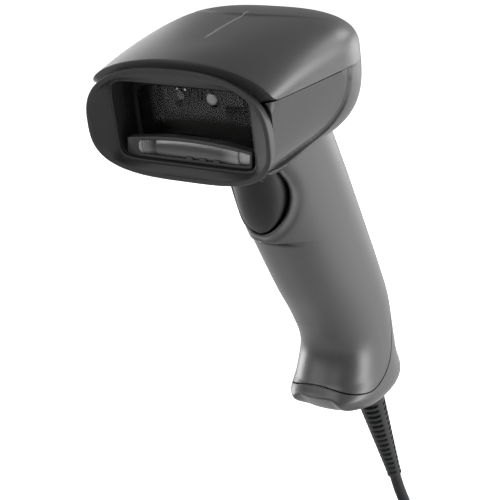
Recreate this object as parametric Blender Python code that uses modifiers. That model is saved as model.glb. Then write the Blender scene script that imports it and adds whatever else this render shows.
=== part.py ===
"""Handheld corded barcode imager with a pistol grip, built as its separate pieces.

Sizes are in metres. The origin is the middle of the hand grip, +Z is up, the nose looks along -Y
and the piece is symmetric about X = 0, apart from its optics and its coiled cord.
"""

import math

import bmesh
import bpy
from mathutils import Matrix, Vector

# Walls and clearances
GAP = 0.0003
WALL = 0.0020
TRIGGER_GAP = 0.0009

# Head casing
LIP_Y = -0.0695
HEAD_ROUND_Y = -0.0300
HEAD_REAR_Y = 0.0042
BELT_Z = 0.0910
LIP_TOP_Z = 0.1017
HEAD_TOP_Z = 0.1053
HEAD_FLOOR_Z = 0.0620
HEAD_END_Z = 0.0828
HEAD_HALF_WIDTH = 0.0349
LIP_STEP_IN = 0.0002
LIP_HALF_WIDTH = HEAD_HALF_WIDTH - LIP_STEP_IN
LIP_ARCH_POWER = 1.95
HEAD_ARCH_POWER = 2.8
LIP_FLOOR_POWER = 4.5
HEAD_FLOOR_POWER = 3.2
HEAD_REAR_POWER = 2.1
PANEL_RECESS = 0.0012

# Nose bezel and the scan opening
NOSE_Y = -0.0720
OPENING_Y = -0.0703
BEZEL_BACK_Y = -0.0643
BEZEL_MID_Z = 0.0800
BEZEL_STEP_OUT = 0.0004
BEZEL_HALF_WIDTH = HEAD_HALF_WIDTH + BEZEL_STEP_OUT
BEZEL_DROP = 0.0172
BEZEL_RISE = 0.0197
BEZEL_POWER = 2.7
BEZEL_ROUND = 0.0015
BEZEL_BOW = 0.0023
SPIGOT_WALL = 0.0016
OPENING_MID_Z = 0.0802
BEZEL_FACE = 0.0091
OPENING_HALF_WIDTH = BEZEL_HALF_WIDTH - BEZEL_FACE
OPENING_HALF_HEIGHT = 0.0124
OPENING_POWER = 8.0

# Handle: height, front, rear and half width of its sections
HANDLE_STATIONS = (
    (-0.0520, -0.0195, 0.0283, 0.0174),
    (-0.0440, -0.0197, 0.0280, 0.0174),
    (-0.0370, -0.0142, 0.0260, 0.0165),
    (-0.0260, -0.0096, 0.0253, 0.0156),
    (-0.0140, -0.0134, 0.0244, 0.0157),
    (0.0000, -0.0205, 0.0202, 0.0161),
    (0.0130, -0.0264, 0.0157, 0.0163),
    (0.0270, -0.0323, 0.0106, 0.0166),
    (0.0430, -0.0386, 0.0047, 0.0169),
    (0.0660, -0.0476, -0.0045, 0.0173),
)
HANDLE_POWER = 2.4
HANDLE_LEAN = math.radians(19.1)
BASE_ROUND = 0.0080
BASE_SLOPE = 0.0095
RIM_Z = 0.0255
RIM_BLEND = 0.0050
RIM_PROUD = 0.0034

# Seam between the grip and the rear shell
SEAM_Z = -0.0428
SEAM_CURVE = (
    (-0.0148, -0.0379),
    (-0.0133, -0.0400),
    (-0.0103, -0.0418),
    (-0.0055, -0.0425),
    (0.0002, -0.0415),
    (0.0055, -0.0397),
    (0.0093, -0.0371),
    (0.0125, -0.0327),
    (0.0150, -0.0275),
    (0.0166, -0.0200),
    (0.0167, -0.0136),
    (0.0152, -0.0070),
)

# Trigger: height and front of its face
TRIGGER_STATIONS = (
    (0.0315, -0.0374),
    (0.0420, -0.0404),
    (0.0490, -0.0421),
    (0.0560, -0.0435),
    (0.0605, -0.0440),
)
TRIGGER_HALF_WIDTH = 0.0120
TRIGGER_DEPTH = 0.0110
TRIGGER_ROUND_Z = 0.0480
TRIGGER_POWER = 2.1
TRIGGER_WALL = 0.0020
PIVOT_Y = -0.0340
PIVOT_Z = 0.0555
PIN_RADIUS = 0.0015
PIN_HOLD = 0.0012
BARREL_RADIUS = 0.0034
BARREL_LENGTH = 0.0036
EAR_HALF_LENGTH = 0.0040

# Trigger spring
SPRING_RADIUS = 0.0026
SPRING_WIRE = 0.0006
SPRING_TURNS = 5
SPRING_PITCH = 0.0014
SPRING_LEG = 0.0050

# Handle board and trigger switch, measured square to the leaning handle
BOARD_THICKNESS = 0.0016
HANDLE_BOARD_HALF_WIDTH = 0.0090
HANDLE_BOARD_REAR = -0.0076
HANDLE_BOARD_TOP = 0.0560
HANDLE_BOARD_BOTTOM = -0.0450
SWITCH_HEIGHT = 0.0470
SWITCH_SIDE = 0.0060
SWITCH_DEPTH = 0.0040
PLUNGER_RADIUS = 0.0017
PLUNGER_LENGTH = 0.0034
PLUNGER_PROUD = 0.0018
NUB_HALF_WIDTH = 0.0025
NUB_LENGTH = 0.0090

# Main board in the head
MAIN_BOARD_Z = 0.0740
MAIN_BOARD_FRONT_Y = -0.0400
MAIN_BOARD_REAR_Y = -0.0095
MAIN_BOARD_HALF_WIDTH = 0.0220
POST_RADIUS = 0.0026
POST_INSET = 0.0030
SCREW_SHANK_RADIUS = 0.0011
SCREW_HEAD_RADIUS = 0.0021
SCREW_HEAD_HEIGHT = 0.0014
SCREW_LENGTH = 0.0060
SHIELD_SIZE = (0.0200, 0.0140, 0.0040)
SHIELD_WALL = 0.0008
SHIELD_Y = -0.0175
BEEPER_RADIUS = 0.0060
BEEPER_HEIGHT = 0.0060
BEEPER_X = -0.0095
BEEPER_Y = -0.0318
FLEX_THICKNESS = 0.0004
FLEX_HALF_WIDTH = 0.0050

# Optics behind the scan opening
SHROUD_BACK_Y = -0.0485
SHROUD_WALL = 0.0012
SHROUD_TAPER = 0.0020
WINDOW_Y = -0.0610
WINDOW_THICKNESS = 0.0010
ENGINE_X = -0.0030
ENGINE_HALF_WIDTH = 0.0120
ENGINE_FRONT_Y = -0.0585
ENGINE_BACK_Y = -0.0460
ENGINE_FLOOR_Z = 0.0800
ENGINE_TOP_Z = 0.0896
LENS_X = -0.0080
AIMER_X = 0.0045
OPTICS_Z = 0.0851
CAMERA_RADIUS = 0.0035
CAMERA_WALL = 0.0008
CAMERA_LENGTH = 0.0058
CAMERA_PROUD = 0.0004
LENS_THICKNESS = 0.0012
AIMER_RADIUS = 0.0020
AIMER_LENGTH = 0.0026
SENSOR_SIDE = 0.0048
SENSOR_THICKNESS = 0.0012

# Light bar at the foot of the scan opening
TRAY_SUNK = 0.0013
TRAY_FRONT_Y = OPENING_Y + TRAY_SUNK
TRAY_DEPTH = 0.0030
TRAY_SIDE = 0.0016
TRAY_HALF_WIDTH = OPENING_HALF_WIDTH - TRAY_SIDE
TRAY_TOP_Z = 0.0742
TRAY_CROWN = 0.0020
TRAY_RIM = 0.0011
LIGHT_BAR_DEPTH = 0.0016
LED_SIZE = (0.0024, 0.0010, 0.0018)
LED_X = 0.0120

# Status light along the top of the cover
STATUS_FRONT_Y = -0.0524
STATUS_REAR_Y = -0.0284
STATUS_HALF_WIDTH = 0.0006
STATUS_SUNK = 0.0003
STATUS_STEM_Y = -0.0315
STATUS_STEM_LENGTH = 0.0030

# Base of the handle
BASE_SCREW_X = 0.0104
BASE_SCREW_Y = -0.0068
BASE_BOSS_RADIUS = 0.0034
BASE_HEAD_DEPTH = 0.0040
GRIP_BOSS_HEIGHT = 0.0100
FOOT_Y = 0.0045
FOOT_HALF_WIDTH = 0.0075
FOOT_HALF_DEPTH = 0.0044
FOOT_THICKNESS = 0.0015
FOOT_PROUD = 0.0003

# Cable outlet: the strain relief leaves the base along its own leaning axis
OUTLET_Y = 0.0169
CORD_LEAN = math.radians(16.1)
RELIEF_TOP_RADIUS = 0.0055
RELIEF_END_RADIUS = 0.0029
RELIEF_LENGTH = 0.0510
RELIEF_NECK = 0.0037
RELIEF_RIBS = 9
RELIEF_GROOVE = 0.0007
PLUG_SIZE = (0.0116, 0.0080, 0.0140)
JACK_WALL = 0.0018
JACK_LENGTH = 0.0180

# Cord: straight round lead, put away in a tied coil that hangs below the handle
CORD_DIAMETER = 0.0046
CORD_ROUTE = (
    (0.0010, 0.0362, -0.1195),
    (0.0024, 0.0377, -0.1270),
    (0.0059, 0.0380, -0.1332),
)
COIL_CENTRE_Z = -0.1680
COIL_REAR_Y = 0.0380
COIL_MIDDLE_RADIUS = 0.0253
COIL_LAYERS = 4
COIL_TURNS = 9
COIL_PITCH = 0.00515
COIL_START = math.radians(35.0)
COIL_END = math.radians(80.0)
LOOP_POINTS = 24
COIL_LEAD_IN = 0.0050
COIL_LEAD_OUT = 0.0150
TIE_ANGLE = math.radians(58.0)
TIE_WIDTH = 0.0080
TIE_THICKNESS = 0.0012
TIE_SLACK = 0.0006

# Connector on the far end of the cord
USB_GRIP_SIZE = (0.0150, 0.0085, 0.0230)
USB_NECK_LENGTH = 0.0090
USB_NECK_RADIUS = 0.0034
USB_SHELL_SIZE = (0.0120, 0.0045, 0.0150)
USB_SHELL_WALL = 0.0004
USB_TONGUE_SIZE = (0.0108, 0.0017, 0.0120)

RING_POINTS = 40
BEZEL_POINTS = 48
ROUND_SEGMENTS = 16
OVERCUT = 0.0050


def clear_scene():
    for obj in list(bpy.data.objects):
        bpy.data.objects.remove(obj, do_unlink=True)


def new_collection(name):
    collection = bpy.data.collections.new(name)
    bpy.context.scene.collection.children.link(collection)
    return collection


def new_finish(name, colour, roughness, metallic=0.0):
    finish = bpy.data.materials.new(name)
    finish.use_nodes = True
    shader = finish.node_tree.nodes["Principled BSDF"]
    shader.inputs["Base Color"].default_value = (*colour, 1.0)
    shader.inputs["Roughness"].default_value = roughness
    shader.inputs["Metallic"].default_value = metallic
    return finish


clear_scene()
PARTS = new_collection("barcode_imager")
CUTTERS = new_collection("cutters")
COVER_GREY = new_finish("cover_grey", (0.10, 0.10, 0.105), 0.45)
GRIP_GREY = new_finish("grip_grey", (0.13, 0.13, 0.135), 0.48)
BEZEL_GREY = new_finish("bezel_grey", (0.055, 0.055, 0.058), 0.5)
TRIGGER_GREY = new_finish("trigger_grey", (0.05, 0.05, 0.053), 0.4)
OPTIC_BLACK = new_finish("optic_black", (0.012, 0.012, 0.013), 0.6)
CLEAR_GLASS = new_finish("clear_glass", (0.6, 0.62, 0.64), 0.05)
DIFFUSER_GREY = new_finish("diffuser_grey", (0.35, 0.36, 0.37), 0.3)
LED_WHITE = new_finish("led_white", (0.75, 0.76, 0.74), 0.3)
BOARD_GREEN = new_finish("board_green", (0.02, 0.13, 0.06), 0.4)
CHIP_BLACK = new_finish("chip_black", (0.02, 0.02, 0.02), 0.35)
STEEL = new_finish("steel", (0.6, 0.6, 0.62), 0.3, 1.0)
FLEX_AMBER = new_finish("flex_amber", (0.35, 0.17, 0.03), 0.4)
CORD_SLATE = new_finish("cord_slate", (0.03, 0.034, 0.04), 0.5)
RUBBER_BLACK = new_finish("rubber_black", (0.02, 0.02, 0.021), 0.75)


def shade(mesh):
    mesh.shade_smooth()
    mesh.set_sharp_from_angle(angle=math.radians(38))


def add_part(name, mesh, finish, parent=None):
    """One sub-part, its mesh given in its parent's frame."""
    mesh.materials.append(finish)
    shade(mesh)
    obj = bpy.data.objects.new(name, mesh)
    obj.parent = parent
    PARTS.objects.link(obj)
    return obj


def add_cutter(name, mesh, parent=None):
    obj = bpy.data.objects.new(name, mesh)
    obj.parent = parent
    obj.hide_render = True
    obj.display_type = "WIRE"
    CUTTERS.objects.link(obj)
    return obj


def add_frame(name, location, lean):
    """An empty whose own Z axis leans back by the angle, for pieces that follow the handle."""
    empty = bpy.data.objects.new(name, None)
    empty.location = location
    empty.rotation_euler = (lean, 0.0, 0.0)
    PARTS.objects.link(empty)
    return empty


def combine(obj, other, operation):
    modifier = obj.modifiers.new(operation.lower() + "_" + other.name, "BOOLEAN")
    modifier.operation = operation
    modifier.solver = "EXACT"
    modifier.object = other


def cut(obj, *cutters):
    for cutter in cutters:
        combine(obj, cutter, "DIFFERENCE")


def join(obj, *bosses):
    for boss in bosses:
        combine(obj, boss, "UNION")


def finish_mesh(name, shape):
    bmesh.ops.recalc_face_normals(shape, faces=shape.faces)
    mesh = bpy.data.meshes.new(name)
    shape.to_mesh(mesh)
    shape.free()
    return mesh


def loft(name, rings, hoop=False):
    """A closed skin through rings of equally many points; a hoop joins its last ring to its first."""
    shape = bmesh.new()
    loops = [[shape.verts.new(point) for point in ring] for ring in rings]
    pairs = list(zip(loops, loops[1:]))
    if hoop:
        pairs.append((loops[-1], loops[0]))
    for low, high in pairs:
        for here in range(len(low)):
            there = (here + 1) % len(low)
            shape.faces.new((low[here], low[there], high[there], high[here]))
    if not hoop:
        shape.faces.new(loops[0])
        shape.faces.new(loops[-1])
    return finish_mesh(name, shape)


def block(name, low, high, bevel=0.0):
    """A box between two corners, with its edges broken by the bevel."""
    shape = bmesh.new()
    size = Vector(high) - Vector(low)
    centre = (Vector(high) + Vector(low)) / 2
    place = Matrix.Translation(centre) @ Matrix.Diagonal((*size, 1.0))
    bmesh.ops.create_cube(shape, size=1.0, matrix=place)
    if bevel:
        bmesh.ops.bevel(shape, geom=shape.edges[:], offset=bevel, segments=1, affect="EDGES")
    return finish_mesh(name, shape)


def rod(name, radius, start, end, end_radius=None, segments=ROUND_SEGMENTS):
    """A round bar, or a cone where its end radius differs, between two points."""
    shape = bmesh.new()
    run = Vector(end) - Vector(start)
    turn = Vector((0, 0, 1)).rotation_difference(run).to_matrix().to_4x4()
    place = Matrix.Translation((Vector(start) + Vector(end)) / 2) @ turn
    bmesh.ops.create_cone(
        shape,
        cap_ends=True,
        segments=segments,
        radius1=radius,
        radius2=radius if end_radius is None else end_radius,
        depth=run.length,
        matrix=place,
    )
    return finish_mesh(name, shape)


def turned(name, profile, finish, parent=None, location=(0, 0, 0), rotation=(0, 0, 0)):
    """A profile of (radius, height) from top to bottom, turned about its own Z axis."""
    shape = bmesh.new()
    points = [shape.verts.new((radius, 0.0, height)) for radius, height in profile]
    for upper, lower in zip(points, points[1:]):
        shape.edges.new((upper, lower))
    mesh = bpy.data.meshes.new(name)
    shape.to_mesh(mesh)
    shape.free()
    obj = add_part(name, mesh, finish, parent)
    obj.location = location
    obj.rotation_euler = rotation
    screw = obj.modifiers.new("turn", "SCREW")
    screw.steps = ROUND_SEGMENTS
    screw.render_steps = ROUND_SEGMENTS
    screw.use_merge_vertices = True
    screw.merge_threshold = 0.00001
    screw.use_smooth_shade = True
    return obj


def tube(name, points, radius, resolution, finish):
    """A round tube with filled ends along the points."""
    curve = bpy.data.curves.new(name, "CURVE")
    curve.dimensions = "3D"
    curve.bevel_depth = radius
    curve.bevel_resolution = resolution
    curve.use_fill_caps = True
    spline = curve.splines.new("POLY")
    spline.points.add(len(points) - 1)
    for spot, point in zip(spline.points, points):
        spot.co = (*point, 1.0)
    curve.materials.append(finish)
    obj = bpy.data.objects.new(name, curve)
    PARTS.objects.link(obj)
    return obj


def stations(table, at):
    """The table's columns at a height, on a smooth curve through its rows."""
    last = len(table) - 2
    row = min(last, max(0, sum(1 for entry in table[1:-1] if entry[0] <= at)))
    before, here = table[max(row - 1, 0)], table[row]
    there, after = table[row + 1], table[min(row + 2, last + 1)]
    span = there[0] - here[0]
    share = (at - here[0]) / span
    values = []
    for column in range(1, len(here)):
        start = (there[column] - before[column]) / (there[0] - before[0]) * span
        end = (after[column] - here[column]) / (after[0] - here[0]) * span
        rise = there[column] - here[column]
        bend = share * (1 - share) * ((start - rise) * (1 - share) - (end - rise) * share)
        values.append(here[column] + rise * share + bend)
    return values


def ease(share):
    share = min(1.0, max(0.0, share))
    return share * share * (3 - 2 * share)


def rounded(angle, power):
    """Unit point of a superellipse at the angle."""
    across, up = math.cos(angle), math.sin(angle)
    return (
        math.copysign(abs(across) ** (2 / power), across),
        math.copysign(abs(up) ** (2 / power), up),
    )


def angles(count):
    return [2 * math.pi * (step + 0.5) / count for step in range(count)]


def head_size(y, inset):
    """Half width, top, belt and floor of the head at a station, and its arch and floor powers."""
    run = min(1.0, (y - LIP_Y) / (HEAD_ROUND_Y - LIP_Y))
    grown = run * (2 - run)
    half = LIP_HALF_WIDTH + (HEAD_HALF_WIDTH - LIP_HALF_WIDTH) * grown - inset
    top = LIP_TOP_Z + (HEAD_TOP_Z - LIP_TOP_Z) * grown - inset
    arch = LIP_ARCH_POWER + (HEAD_ARCH_POWER - LIP_ARCH_POWER) * grown
    lower = LIP_FLOOR_POWER + (HEAD_FLOOR_POWER - LIP_FLOOR_POWER) * grown
    reach = max(0.0, y - HEAD_ROUND_Y) / (HEAD_REAR_Y - inset - HEAD_ROUND_Y)
    close = max(0.0, 1 - reach**HEAD_REAR_POWER) ** (1 / HEAD_REAR_POWER)
    heights = [HEAD_END_Z + (z - HEAD_END_Z) * close for z in (top, BELT_Z, HEAD_FLOOR_Z + inset)]
    return (half * close, *heights, arch, lower)


def head_ring(y, inset, recess):
    half, top, belt, floor, arch, lower = head_size(y, inset)
    half -= recess * (1 - ease((y - HEAD_ROUND_Y) / (HEAD_REAR_Y - HEAD_ROUND_Y)))
    ring = []
    for angle in angles(RING_POINTS):
        upper = math.sin(angle) > 0
        across, up = rounded(angle, arch if upper else lower)
        ring.append((half * across, y, belt + up * (top - belt if upper else belt - floor)))
    return ring


def head_form(name, front, inset, recess=0.0):
    """The head as a solid, from the front station to its rounded rear."""
    levels = [front + (HEAD_ROUND_Y - front) * step / 5 for step in range(6)]
    rear = HEAD_REAR_Y - inset
    for step in range(1, 8):
        swing = math.sin(step / 7 * math.radians(86)) ** (2 / HEAD_REAR_POWER)
        levels.append(HEAD_ROUND_Y + (rear - HEAD_ROUND_Y) * swing)
    return loft(name, [head_ring(y, inset, recess) for y in levels])


def handle_size(z):
    table = HANDLE_STATIONS
    return stations(table, min(max(z, table[0][0]), table[-1][0]))


HANDLE_TOP_Z = HANDLE_STATIONS[-1][0]
BASE_Z = HANDLE_STATIONS[0][0]


def handle_ring(z, inset):
    front, rear, half = handle_size(z)
    radius = BASE_ROUND - inset
    above = min(z - (BASE_Z + inset), radius)
    tuck = inset + radius - math.sqrt(max(0.0, radius**2 - (radius - above) ** 2))
    middle, depth = (front + rear) / 2, (rear - front) / 2
    proud = RIM_PROUD * ease((z - RIM_Z) / RIM_BLEND + 0.5)
    slope = BASE_SLOPE * max(0.0, (SEAM_Z - z) / (SEAM_Z - BASE_Z)) ** 1.5
    ring = []
    for angle in angles(RING_POINTS):
        across, back = rounded(angle, HANDLE_POWER)
        ahead = max(0.0, -back)
        y = middle + back * (depth - tuck) - proud * ahead**2 + slope * ahead
        ring.append((across * (half - tuck), y, z))
    return ring


def handle_form(name, inset, above=0.0):
    """The handle as a solid, rounded at its base and open to stretch above its top."""
    bottom, radius = BASE_Z + inset, BASE_ROUND - inset
    levels = [bottom + radius * (1 - math.cos(math.radians(90) * step / 4)) for step in range(5)]
    count = 15
    start = levels[-1]
    levels += [start + (HANDLE_TOP_Z - start) * step / count for step in range(1, count + 1)]
    rings = [handle_ring(z, inset) for z in levels]
    if above:
        rings.append([(x, y, z + above) for x, y, z in rings[-1]])
    return loft(name, rings)


def trigger_ring(z, grow, front_room=0.0, rear_room=0.0):
    face = stations(TRIGGER_STATIONS, min(max(z, TRIGGER_FOOT_Z), TRIGGER_TOP_Z))[0]
    half = TRIGGER_HALF_WIDTH + grow
    foot = TRIGGER_FOOT_Z - grow
    if z < TRIGGER_ROUND_Z:
        drop = (TRIGGER_ROUND_Z - z) / (TRIGGER_ROUND_Z - foot)
        half *= math.sqrt(max(0.0, 1 - drop**2))
    middle = face + TRIGGER_DEPTH / 2
    ahead, behind = (TRIGGER_DEPTH / 2 + grow + room for room in (front_room, rear_room))
    ring = []
    for angle in angles(RING_POINTS // 2):
        across, back = rounded(angle, TRIGGER_POWER)
        ring.append((half * across, middle + back * (behind if back > 0 else ahead), z))
    return ring


TRIGGER_FOOT_Z = TRIGGER_STATIONS[0][0]
TRIGGER_TOP_Z = TRIGGER_STATIONS[-1][0]


def trigger_form(name, grow, above=0.0, front_room=0.0, rear_room=0.0):
    """The trigger as a solid with a round foot, grown on all sides."""
    foot = TRIGGER_FOOT_Z - grow
    round_rise = TRIGGER_ROUND_Z - foot
    levels = [TRIGGER_ROUND_Z - round_rise * math.sin(math.radians(83) * (1 - k / 6)) for k in range(7)]
    rise = TRIGGER_TOP_Z - TRIGGER_ROUND_Z
    levels += [TRIGGER_ROUND_Z + rise * step / 4 for step in range(1, 5)]
    if above:
        levels.append(TRIGGER_TOP_Z + above)
    return loft(name, [trigger_ring(z, grow, front_room, rear_room) for z in levels])


def bezel_ring(y, inset, bow=BEZEL_BOW):
    """A ring of the bezel, whose two ends are bowed forwards."""
    ring = []
    for angle in angles(BEZEL_POINTS):
        across, up = rounded(angle, BEZEL_POWER)
        reach = (BEZEL_RISE if up > 0 else BEZEL_DROP) - inset
        ring.append(((BEZEL_HALF_WIDTH - inset) * across, y - bow * across**2, BEZEL_MID_Z + reach * up))
    return ring


def opening_ring(y, grow, count=BEZEL_POINTS):
    ring = []
    for angle in angles(count):
        across, up = rounded(angle, OPENING_POWER)
        x = (OPENING_HALF_WIDTH + grow) * across
        ring.append((x, y, OPENING_MID_Z + (OPENING_HALF_HEIGHT + grow) * up))
    return ring


def prism_y(name, outline, front, rear):
    """An outline of (x, z) points drawn out between two Y stations."""
    return loft(name, [[(x, y, z) for x, z in outline] for y in (front, rear)])


def prism_x(name, outline, half_width):
    """An outline of (y, z) points drawn out to both sides of X = 0."""
    return loft(name, [[(x, y, z) for y, z in outline] for x in (-half_width, half_width)])


GRIP_AXIS = add_frame("grip_axis", (0, 0, 0), HANDLE_LEAN)
CORD_AXIS = add_frame("cord_axis", (0, OUTLET_Y, BASE_Z), CORD_LEAN)


def on_grip(x, y, z):
    """World place of a point in the leaning handle's frame."""
    lean = Matrix.Rotation(HANDLE_LEAN, 4, "X")
    return lean @ Vector((x, y, z))


def on_cord(x, y, z):
    """World place of a point in the cable outlet's frame."""
    lean = Matrix.Translation((0, OUTLET_Y, BASE_Z)) @ Matrix.Rotation(CORD_LEAN, 4, "X")
    return lean @ Vector((x, y, z))


FAR = 0.1
MAIN_BOARD_TOP_Z = MAIN_BOARD_Z + BOARD_THICKNESS


def head_casing():
    """Top cover with its lip, and the housing below the belt that the handle plugs into."""
    inner = add_cutter("head_inside", head_form("head_inside", LIP_Y - OVERCUT, WALL))
    cover = add_part("top_cover", head_form("top_cover", LIP_Y, 0.0), COVER_GREY)
    below = block("below_belt", (-FAR, -FAR, -FAR), (FAR, FAR, BELT_Z + GAP / 2))
    slot = status_form("status_slot", GAP)
    cut(cover, inner, add_cutter("below_belt", below), add_cutter("status_slot", slot))

    front = LIP_Y
    housing = add_part("head_housing", head_form("head_housing", front, 0.0, PANEL_RECESS), GRIP_GREY)
    hollow = add_cutter("housing_inside", head_form("housing_inside", front - OVERCUT, WALL, PANEL_RECESS))
    above = block("above_belt", (-FAR, -FAR, BELT_Z - GAP / 2), (FAR, FAR, FAR + BELT_Z))
    socket = add_cutter("handle_socket", handle_form("handle_socket", -GAP, OVERCUT))
    cut(housing, hollow, add_cutter("above_belt", above), socket)
    within = add_cutter("housing_skin", head_form("housing_skin", front, WALL / 4, PANEL_RECESS))
    for index, (x, y) in enumerate(board_screw_places(), 1):
        low, high = (x, y, HEAD_FLOOR_Z - OVERCUT), (x, y, MAIN_BOARD_Z - GAP)
        post = add_cutter(f"post_{index}", rod(f"post_{index}", POST_RADIUS, low, high))
        combine(post, within, "INTERSECT")
        join(housing, post)
        pilot_low = (x, y, MAIN_BOARD_TOP_Z - SCREW_LENGTH - GAP)
        pilot = rod(f"pilot_{index}", SCREW_SHANK_RADIUS + GAP, pilot_low, (x, y, MAIN_BOARD_Z + OVERCUT))
        cut(housing, add_cutter(f"pilot_{index}", pilot))


def board_screw_places():
    across = MAIN_BOARD_HALF_WIDTH - POST_INSET
    ends = (MAIN_BOARD_FRONT_Y + POST_INSET, MAIN_BOARD_REAR_Y - POST_INSET)
    return [(side * across, y) for y in ends for side in (-1, 1)]


def status_form(name, grow):
    """The status light's strip, which follows the cover's crown."""
    rings = []
    for step in range(7):
        share = step / 6
        front, rear = STATUS_FRONT_Y - grow, STATUS_REAR_Y + grow
        y = front + (rear - front) * share
        crown = head_size(y, 0.0)[1]
        top = crown + OVERCUT if grow else crown - STATUS_SUNK
        low = crown - 2 * WALL
        half = STATUS_HALF_WIDTH + grow
        rings.append([(-half, y, low), (half, y, low), (half, y, top), (-half, y, top)])
    return loft(name, rings)


def status_light():
    light = add_part("status_light", status_form("status_light", 0.0), DIFFUSER_GREY)
    stem_top = head_size(STATUS_STEM_Y, 0.0)[1] - WALL
    low = (-STATUS_HALF_WIDTH, STATUS_STEM_Y - STATUS_STEM_LENGTH / 2, MAIN_BOARD_TOP_Z + GAP)
    high = (STATUS_HALF_WIDTH, STATUS_STEM_Y + STATUS_STEM_LENGTH / 2, stem_top)
    join(light, add_cutter("status_stem", block("status_stem", low, high)))


def nose_bezel():
    """Dished ring round the scan opening, tucked under the cover's lip at its top."""
    back = LIP_Y - GAP
    rings = [
        bezel_ring(back, BEZEL_ROUND / 3, 0.0),
        bezel_ring(NOSE_Y + BEZEL_ROUND / 2, 0.0),
        bezel_ring(NOSE_Y + BEZEL_ROUND / 5, BEZEL_ROUND / 3),
        bezel_ring(NOSE_Y, BEZEL_ROUND),
        opening_ring(OPENING_Y, 0.0),
        opening_ring(BEZEL_BACK_Y, 0.0),
        opening_ring(BEZEL_BACK_Y, SPIGOT_WALL),
        opening_ring(back, SPIGOT_WALL),
    ]
    bezel = add_part("nose_bezel", loft("nose_bezel", rings, hoop=True), BEZEL_GREY)
    lip = add_cutter("lip_room", head_form("lip_room", LIP_Y - GAP, -OVERCUT / 2))
    tucked = add_cutter("lip_tuck", head_form("lip_tuck", LIP_Y - OVERCUT, WALL + GAP))
    below = block("below_lip", (-FAR, -FAR, -FAR), (FAR, FAR, BELT_Z - GAP / 2))
    cut(lip, tucked, add_cutter("below_lip", below))
    cut(bezel, lip)


def seam_outline(shift):
    """Side outline of what belongs to the rear shell, moved out of the seam by the shift."""
    curve = [Vector(point) for point in SEAM_CURVE]
    first = curve[0] - (curve[1] - curve[0]).normalized() * FAR / 4
    last = curve[-1] + Vector((-math.sin(HANDLE_LEAN), math.cos(HANDLE_LEAN))) * FAR
    curve = [first, *curve, last]
    outline = [(-FAR, first.y - shift)]
    for index, point in enumerate(curve):
        before, after = curve[max(index - 1, 0)], curve[min(index + 1, len(curve) - 1)]
        along = (after - before).normalized()
        outline.append((point.x + along.y * shift, point.y - along.x * shift))
    outline += [(FAR, outline[-1][1]), (FAR, -FAR), (-FAR, -FAR)]
    return outline


def base_screw_places():
    return [(side * BASE_SCREW_X, BASE_SCREW_Y) for side in (-1, 1)]


BASE_HEAD_Z = SEAM_Z - BASE_HEAD_DEPTH


def handle_casing():
    """Grip in front, rear shell behind it that also closes the base."""
    inside = add_cutter("handle_inside", handle_form("handle_inside", WALL, OVERCUT))
    within = add_cutter("handle_skin", handle_form("handle_skin", WALL / 4, OVERCUT))
    grip = add_part("grip_shell", handle_form("grip_shell", 0.0), GRIP_GREY)
    rear = add_part("rear_shell", handle_form("rear_shell", 0.0), GRIP_GREY)
    rear_room = add_cutter("rear_room", prism_x("rear_room", seam_outline(-GAP / 2), FAR))
    rear_side = add_cutter("rear_side", prism_x("rear_side", seam_outline(GAP / 2), FAR))
    cut(grip, inside, rear_room)
    cut(rear, inside)
    combine(rear, rear_side, "INTERSECT")
    grip_bosses = grip_ribs() + base_bosses("grip_boss", SEAM_Z, SEAM_Z + GRIP_BOSS_HEIGHT)
    rear_bosses = base_bosses("base_boss", BASE_Z - OVERCUT, SEAM_Z + WALL)
    for boss in grip_bosses:
        cut(boss, rear_room)
    for boss in rear_bosses:
        combine(boss, rear_side, "INTERSECT")
    for shell, bosses in ((grip, grip_bosses), (rear, rear_bosses)):
        for boss in bosses:
            combine(boss, within, "INTERSECT")
            join(shell, boss)

    mouth = trigger_form("trigger_mouth", TRIGGER_GAP, 3 * OVERCUT, FAR / 4, GAP)
    cut(grip, add_cutter("trigger_mouth", mouth))
    for index, (x, y) in enumerate(base_screw_places(), 1):
        low = (x, y, BASE_Z - OVERCUT)
        hole_top = (x, y, BASE_HEAD_Z + SCREW_LENGTH + GAP)
        hole = rod(f"screw_hole_{index}", SCREW_SHANK_RADIUS + GAP, low, hole_top)
        sink = rod(f"screw_sink_{index}", SCREW_HEAD_RADIUS + GAP, low, (x, y, BASE_HEAD_Z + GAP))
        hole_cutter = add_cutter(f"screw_hole_{index}", hole)
        cut(grip, hole_cutter)
        cut(rear, hole_cutter, add_cutter(f"screw_sink_{index}", sink))

    reach = pin_half_length() + GAP
    pin_hole = rod("pin_hole", PIN_RADIUS + GAP, (-reach, PIVOT_Y, PIVOT_Z), (reach, PIVOT_Y, PIVOT_Z))
    cut(grip, add_cutter("pin_hole", pin_hole))
    outlet = rod("outlet", RELIEF_TOP_RADIUS + GAP, (0, 0, -BASE_ROUND), (0, 0, BASE_ROUND))
    cut(rear, add_cutter("outlet", outlet, CORD_AXIS), add_cutter("foot_seat", foot_form("foot_seat", GAP)))


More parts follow.
